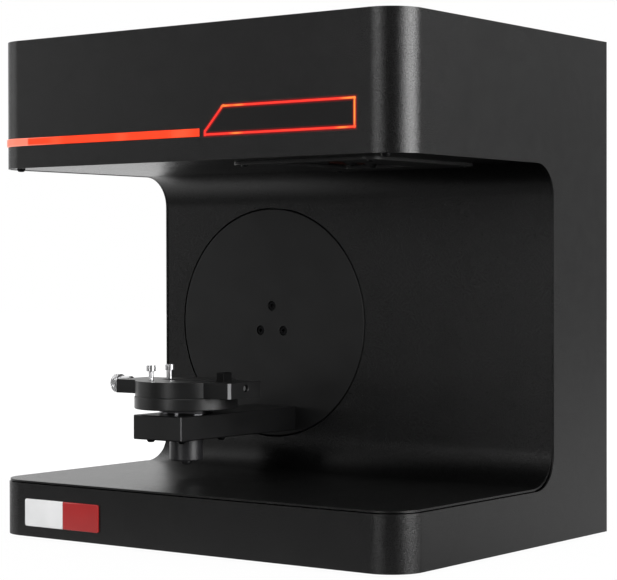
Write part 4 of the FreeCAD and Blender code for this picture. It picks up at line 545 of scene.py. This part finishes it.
def badge(name, node, finish, free_side):
    """A resin tile, crowned like a lens and rounded at the corners of its free side."""
    low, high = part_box(node)
    shape = bmesh.new()
    size = high - low
    bmesh.ops.create_cube(shape, size=1.0)
    bmesh.ops.scale(shape, vec=size, verts=shape.verts)
    bmesh.ops.translate(shape, vec=(low + high) / 2, verts=shape.verts)
    side = low.x if free_side == "left" else high.x
    corners = [e for e in shape.edges if abs(e.verts[0].co.y - e.verts[1].co.y) > size.y / 2]
    round_off(shape, [e for e in corners if abs(e.verts[0].co.x - side) < TOUCHING], 1.8 * MM, 6)
    rim = [e for e in shape.edges
           if all(abs(v.co.y - low.y) < TOUCHING for v in e.verts) and len(e.link_faces) == 2]
    round_off(shape, rim, 1.0 * MM, 5, 0.62)
    finish_piece(name, node, shape, "cabinet", finish, 50)


badge("badge_white_dome", "badge_tile_left", "resin_white", "left")
badge("badge_red_dome", "badge_tile_right", "resin_red", "right")


def raise_rim(shape, face, height, scale):
    """Extrude a face straight up and scale it about its centre."""
    made = bmesh.ops.extrude_face_region(shape, geom=[face])
    verts = [v for v in made["geom"] if isinstance(v, bmesh.types.BMVert)]
    new_face = next(f for f in made["geom"] if isinstance(f, bmesh.types.BMFace))
    bmesh.ops.delete(shape, geom=[face], context="FACES_ONLY")
    bmesh.ops.translate(shape, vec=(0, 0, height), verts=verts)
    centre = new_face.calc_center_median()
    bmesh.ops.scale(shape, vec=(scale, scale, 1), verts=verts, space=Matrix.Translation(-centre))
    return new_face


def hexagon_reach(angle, half):
    """Distance from the middle of a hexagon to its side in a direction."""
    turn = (angle + math.pi / 6) % (math.pi / 3) - math.pi / 6
    return half / math.cos(turn)


# A screw head's profile: steps as shares of its height, and how far each one draws in
DOME = ((0.30, 1.0), (0.30, 0.93), (0.22, 0.86), (0.18, 0.76))


def button_head(shape, radius, height, socket, depth):
    """A domed screw head on the XY plane, closed below, with a hexagon socket in its top."""
    circle = bmesh.ops.create_circle(shape, cap_ends=True, radius=radius, segments=24)
    face = circle["verts"][0].link_faces[0]
    bmesh.ops.duplicate(shape, geom=[face])
    for step, scale in DOME:
        face = raise_rim(shape, face, height * step, scale)
    bmesh.ops.inset_region(shape, faces=[face], thickness=radius * 0.05, depth=0)
    for v in face.verts:
        angle = math.atan2(v.co.y, v.co.x)
        reach = hexagon_reach(angle, socket / 2)
        v.co.x = reach * math.cos(angle)
        v.co.y = reach * math.sin(angle)
    raise_rim(shape, face, -depth, 0.96)


def heads(name, node, body, places, turn, sizes, length):
    """Screws at several places, each turned its own way, that stand for a node of screws."""
    radius, height, socket, depth, shank = (size * MM for size in sizes)
    shape = bmesh.new()
    for count, place in enumerate(places):
        one = bmesh.new()
        button_head(one, radius, height, socket, depth)
        bmesh.ops.create_cone(one, cap_ends=True, segments=16, radius1=shank, radius2=shank,
                              depth=length, matrix=Matrix.Translation((0, 0, -length / 2)))
        spin = Matrix.Rotation(0.7 * count + 0.3, 4, "Z")
        bmesh.ops.transform(one, matrix=Matrix.Translation(place) @ turn @ spin, verts=one.verts)
        mesh = bpy.data.meshes.new("one_head")
        one.to_mesh(mesh)
        one.free()
        shape.from_mesh(mesh)
        bpy.data.meshes.remove(mesh)
    finish_piece(name, node, shape, body, "black_screw", 40)


DOWN = Matrix.Rotation(math.pi, 4, "X")
REARWARD = Matrix.Rotation(-math.pi / 2, 4, "X")

# Screws in millimetres: the head's radius and height, its socket's width and depth, the shank's
# radius. The last ones give the places of the rear and liner screws as shares of a side.
COVER_SCREW = (3.4, 2.8, 2.5, 1.3, 1.5)
REAR_SCREW = (3.0, 1.8, 2.0, 1.0, 1.5)
BEZEL_SCREW = (2.6, 1.1, 2.0, 0.7, 1.5)
REAR_SHARES = (0.0, 0.34, 0.67, 1.0)
LINER_SHARES = (0.5,)


def corner_heads(name, node, body, turn, axis, up, sizes, shares=(0.0, 1.0)):
    """Screws along two sides of a node of screws whose heads point along an axis."""
    low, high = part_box(node)
    radius, height = sizes[0] * MM, sizes[1] * MM
    seat = (high[axis] - height) if up else (low[axis] + height)
    first, second = [i for i in range(3) if i != axis]
    places = []
    for a in (low[first] + radius, high[first] - radius):
        for share in shares:
            b = low[second] + radius + (high[second] - low[second] - 2 * radius) * share
            place = [0, 0, 0]
            place[axis], place[first], place[second] = seat, a, b
            places.append(tuple(place))
    heads(name, node, body, places, turn, sizes, high[axis] - low[axis] - height)


corner_heads("arm_cover_button_heads", "arm_cover_screws", "tilt_arm", DOWN, 2, False, COVER_SCREW)
corner_heads("head_underside_screws", "liner_screws", "cabinet", DOWN, 2, False, COVER_SCREW,
             LINER_SHARES)
corner_heads("rear_button_heads", "rear_screws", "cabinet", REARWARD, 1, True, REAR_SCREW,
             REAR_SHARES)
corner_heads("bezel_button_heads", "bezel_screws", "cabinet", DOWN, 2, False, BEZEL_SCREW)


def to_screw_axis(shape, low, high):
    """Lay a shape made along Z on the axis of a node's box, from its left end."""
    turn = Matrix.Rotation(math.pi / 2, 4, "Y")
    place = Matrix.Translation((low.x, (low.y + high.y) / 2, (low.z + high.z) / 2))
    bmesh.ops.transform(shape, matrix=place @ turn, verts=shape.verts)


def rod(shape, begin, end, radius, segments, rounding):
    """A round rod along Z with rounded ends."""
    made = bmesh.ops.create_cone(shape, cap_ends=True, segments=segments, radius1=radius,
                                 radius2=radius, depth=end - begin,
                                 matrix=Matrix.Translation((0, 0, (begin + end) / 2)))
    sharp = {e for v in made["verts"] for e in v.link_edges if e.calc_face_angle(0) > 1.2}
    round_off(shape, sharp, rounding, 2)


def knurled_knob():
    """The clamp's knob with a diamond knurl, chamfered ends and its plain hub."""
    low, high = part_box("clamp_knob")
    radius = (high.z - low.z) / 2
    grip, hub_radius = 6.2 * MM, 6.3 * MM
    knurls, knurl_depth, chamfer = 24, 0.45 * MM, 0.8 * MM
    around, along = 4 * knurls, 12
    shape = bmesh.new()
    bmesh.ops.create_circle(shape, cap_ends=False, radius=radius, segments=around)
    edges = list(shape.edges)
    step = grip / along
    for _ in range(along):
        made = bmesh.ops.extrude_edge_only(shape, edges=edges)
        edges = [e for e in made["geom"] if isinstance(e, bmesh.types.BMEdge)
                 and all(v in made["geom"] for v in e.verts)]
        verts = [v for v in made["geom"] if isinstance(v, bmesh.types.BMVert)]
        bmesh.ops.translate(shape, vec=(0, 0, step), verts=verts)
    for v in shape.verts:
        angle = math.atan2(v.co.y, v.co.x)
        row = round(v.co.z / step)
        diamond = 0.5 + 0.5 * math.cos(knurls * angle + row * math.pi / 2)
        cross = 0.5 + 0.5 * math.cos(knurls * angle - row * math.pi / 2)
        at_end = row in (0, along)
        depth = chamfer if at_end else knurl_depth * (1 - diamond * cross)
        reach = (radius - depth) / radius
        v.co.x *= reach
        v.co.y *= reach
    ends = [e for e in shape.edges if len(e.link_faces) == 1]
    bmesh.ops.holes_fill(shape, edges=ends, sides=0)
    for face in [f for f in shape.faces if len(f.verts) > 8]:
        if face.calc_center_median().z < step:
            bmesh.ops.inset_region(shape, faces=[face], thickness=1.6 * MM, depth=0)
            bmesh.ops.inset_region(shape, faces=[face], thickness=0.25 * MM, depth=-0.35 * MM)
    rod(shape, grip, high.x - low.x, hub_radius, 64, 0.4 * MM)
    to_screw_axis(shape, low, high)
    finish_piece("clamp_knurled_knob", "clamp_knob", shape, "clamp_screw", "turned", 24)


knurled_knob()


def lead_screw():
    """The clamp's screw: a core with a rolled thread of one millimetre pitch and a plain tip."""
    low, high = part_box("clamp_lead_screw")
    outer = (high.z - low.z) / 2
    root = outer - 0.55 * MM
    pitch, start = 1.0 * MM, 9.0 * MM
    tip, tip_radius = 8.0 * MM, 2.2 * MM
    length = high.x - low.x
    shape = bmesh.new()
    rod(shape, 0.0, start, outer, 32, 0.2 * MM)
    rod(shape, start, length - tip, root, 32, 0.2 * MM)
    rod(shape, length - tip, length, tip_radius, 32, 0.2 * MM)
    turns = int((length - tip - start - pitch) / pitch)
    steps = 20
    below = root - 0.05 * MM
    profile = [(below, -0.46 * pitch), (outer, -0.08 * pitch), (outer, 0.08 * pitch),
               (below, 0.46 * pitch)]
    points = [shape.verts.new((r, 0, start + pitch / 2 + z)) for r, z in profile]
    edges = [shape.edges.new((points[i], points[(i + 1) % 4])) for i in range(4)]
    bmesh.ops.spin(shape, geom=points + edges, cent=(0, 0, 0), axis=(0, 0, 1),
                   dvec=(0, 0, pitch / steps), angle=2 * math.pi * turns, steps=turns * steps,
                   use_merge=False)
    open_ends = [e for e in shape.edges if len(e.link_faces) == 1]
    bmesh.ops.holes_fill(shape, edges=open_ends, sides=4)
    to_screw_axis(shape, low, high)
    finish_piece("clamp_threaded_screw", "clamp_lead_screw", shape, "clamp_screw", "turned", 30)


lead_screw()


# Studio: a pale floor in a white surround, soft boxes left of the camera and at the right,
# and a big one above
FLOOR_SIZE = 6.0
FLOOR_GLOW = 1.2
LAMP_AIM = (0, 0, 0.22)


def studio_floor():
    """Pale paper that the camera sees as white with the shadow on it.

    In glossy faces it is bright behind the object and dark in front of it."""
    shape = bmesh.new()
    bmesh.ops.create_grid(shape, x_segments=1, y_segments=1, size=FLOOR_SIZE)
    mesh = bpy.data.meshes.new("studio_floor")
    shape.to_mesh(mesh)
    shape.free()
    floor = bpy.data.objects.new("studio_floor", mesh)
    bpy.context.scene.collection.objects.link(floor)
    made = Finish("floor_paper", (0.64, 0.64, 0.64), 0.7)
    seen, mirrored = made.ray("Camera"), made.ray("Glossy")
    across, deep, _ = made.axes(made.spot())
    behind = deep.between(-0.5, 0.4)
    behind = behind * (1 - across.between(-0.10, 0.30) * 0.50)
    behind = behind * (1 - across.between(0.5, 1.2) * 0.7)
    shown = (seen * 1.02).greater(0.10 + behind * 1.10)
    tone = made.blend(shown * (1 / FLOOR_GLOW), BLACK, WHITE)
    glow = made.add("ShaderNodeEmission", {}, {"Color": tone, "Strength": FLOOR_GLOW})
    made.mix((seen * 0.955).greater(mirrored * 0.95), made.shader, glow,
             made.tree.nodes["Material Output"])
    mesh.materials.append(made.material)


def studio_world():
    """White for the camera, and a soft even light.

    Glossy faces see it bright behind the object, with a bright patch far at the left."""
    world = bpy.data.worlds.new("studio_world")
    world.use_nodes = True
    bpy.context.scene.world = world
    made = Nodes(world.node_tree)
    made.tree.nodes.clear()
    camera, mirrored = made.ray("Camera"), made.ray("Glossy").greater(made.ray("Transmission"))
    across, deep, up = made.axes(made.place("Generated"))
    behind = deep.between(-0.35, 0.45) * (1 - across.between(-0.10, 0.50) * 0.79)
    left = (-(across * 0.906) - deep * 0.423).between(0.925, 0.985)
    haze = 0.60 + up.between(0.0, 0.13) * 0.40
    mirror = 0.06 + behind * haze * 0.94 + left * 1.6 + up.between(0.25, 0.80) * 0.35
    soft = made.add("ShaderNodeBackground", {}, {"Color": (0.98, 0.99, 1.0), "Strength": 0.62})
    white = made.add("ShaderNodeBackground", {},
                     {"Color": WHITE, "Strength": camera.greater(mirrored * mirror)})
    made.mix(camera.greater(mirrored), soft, white, made.add("ShaderNodeOutputWorld"))


def soft_box(name, azimuth, distance, height, wide, tall, power):
    """A rectangular lamp that faces the object. Azimuth 0 is behind it and 90 at its right."""
    turn = math.radians(azimuth)
    place = Vector((math.sin(turn) * distance, math.cos(turn) * distance, height))
    lamp = bpy.data.lights.new(name, "AREA")
    lamp.shape = "RECTANGLE"
    lamp.size = wide
    lamp.size_y = tall
    lamp.energy = power
    thing = bpy.data.objects.new(name, lamp)
    bpy.context.scene.collection.objects.link(thing)
    thing.location = place
    aim = Vector(LAMP_AIM) - place
    thing.rotation_euler = aim.to_track_quat("-Z", "Y").to_euler()


studio_floor()
studio_world()
soft_box("box_left_of_camera", -177, 2.6, 0.60, 0.58, 1.5, 16)
soft_box("box_right", 85, 2.4, 0.65, 1.80, 1.00, 60)
soft_box("box_above", 150, 2.2, 2.4, 2.0, 1.4, 18)

CAMERA_PLACE = (0.9796, -1.3023, 0.2193)
CAMERA_YAW, CAMERA_PITCH, CAMERA_ROLL = 36.736, -0.642, -0.113
CAMERA_LENS = 116.34


def set_camera():
    """The photograph's view, solved from the cabinet's edges."""
    yaw, pitch, roll = (math.radians(a) for a in (CAMERA_YAW, CAMERA_PITCH, CAMERA_ROLL))
    view = Vector((-math.sin(yaw) * math.cos(pitch), math.cos(yaw) * math.cos(pitch),
                   math.sin(pitch)))
    level = Vector((math.cos(yaw), math.sin(yaw), 0))
    rise = level.cross(view)
    right = level * math.cos(roll) + rise * math.sin(roll)
    up = rise * math.cos(roll) - level * math.sin(roll)
    camera = bpy.data.cameras.new("camera")
    camera.sensor_fit = "HORIZONTAL"
    camera.sensor_width = 36.0
    camera.lens = CAMERA_LENS
    camera.clip_start = 0.05
    camera.clip_end = 50.0
    thing = bpy.data.objects.new("camera", camera)
    bpy.context.scene.collection.objects.link(thing)
    turn = Matrix((right, up, -view)).transposed().to_4x4()
    thing.matrix_world = Matrix.Translation(CAMERA_PLACE) @ turn
    bpy.context.scene.camera = thing


set_camera()
bpy.context.scene.view_settings.view_transform = "Standard"
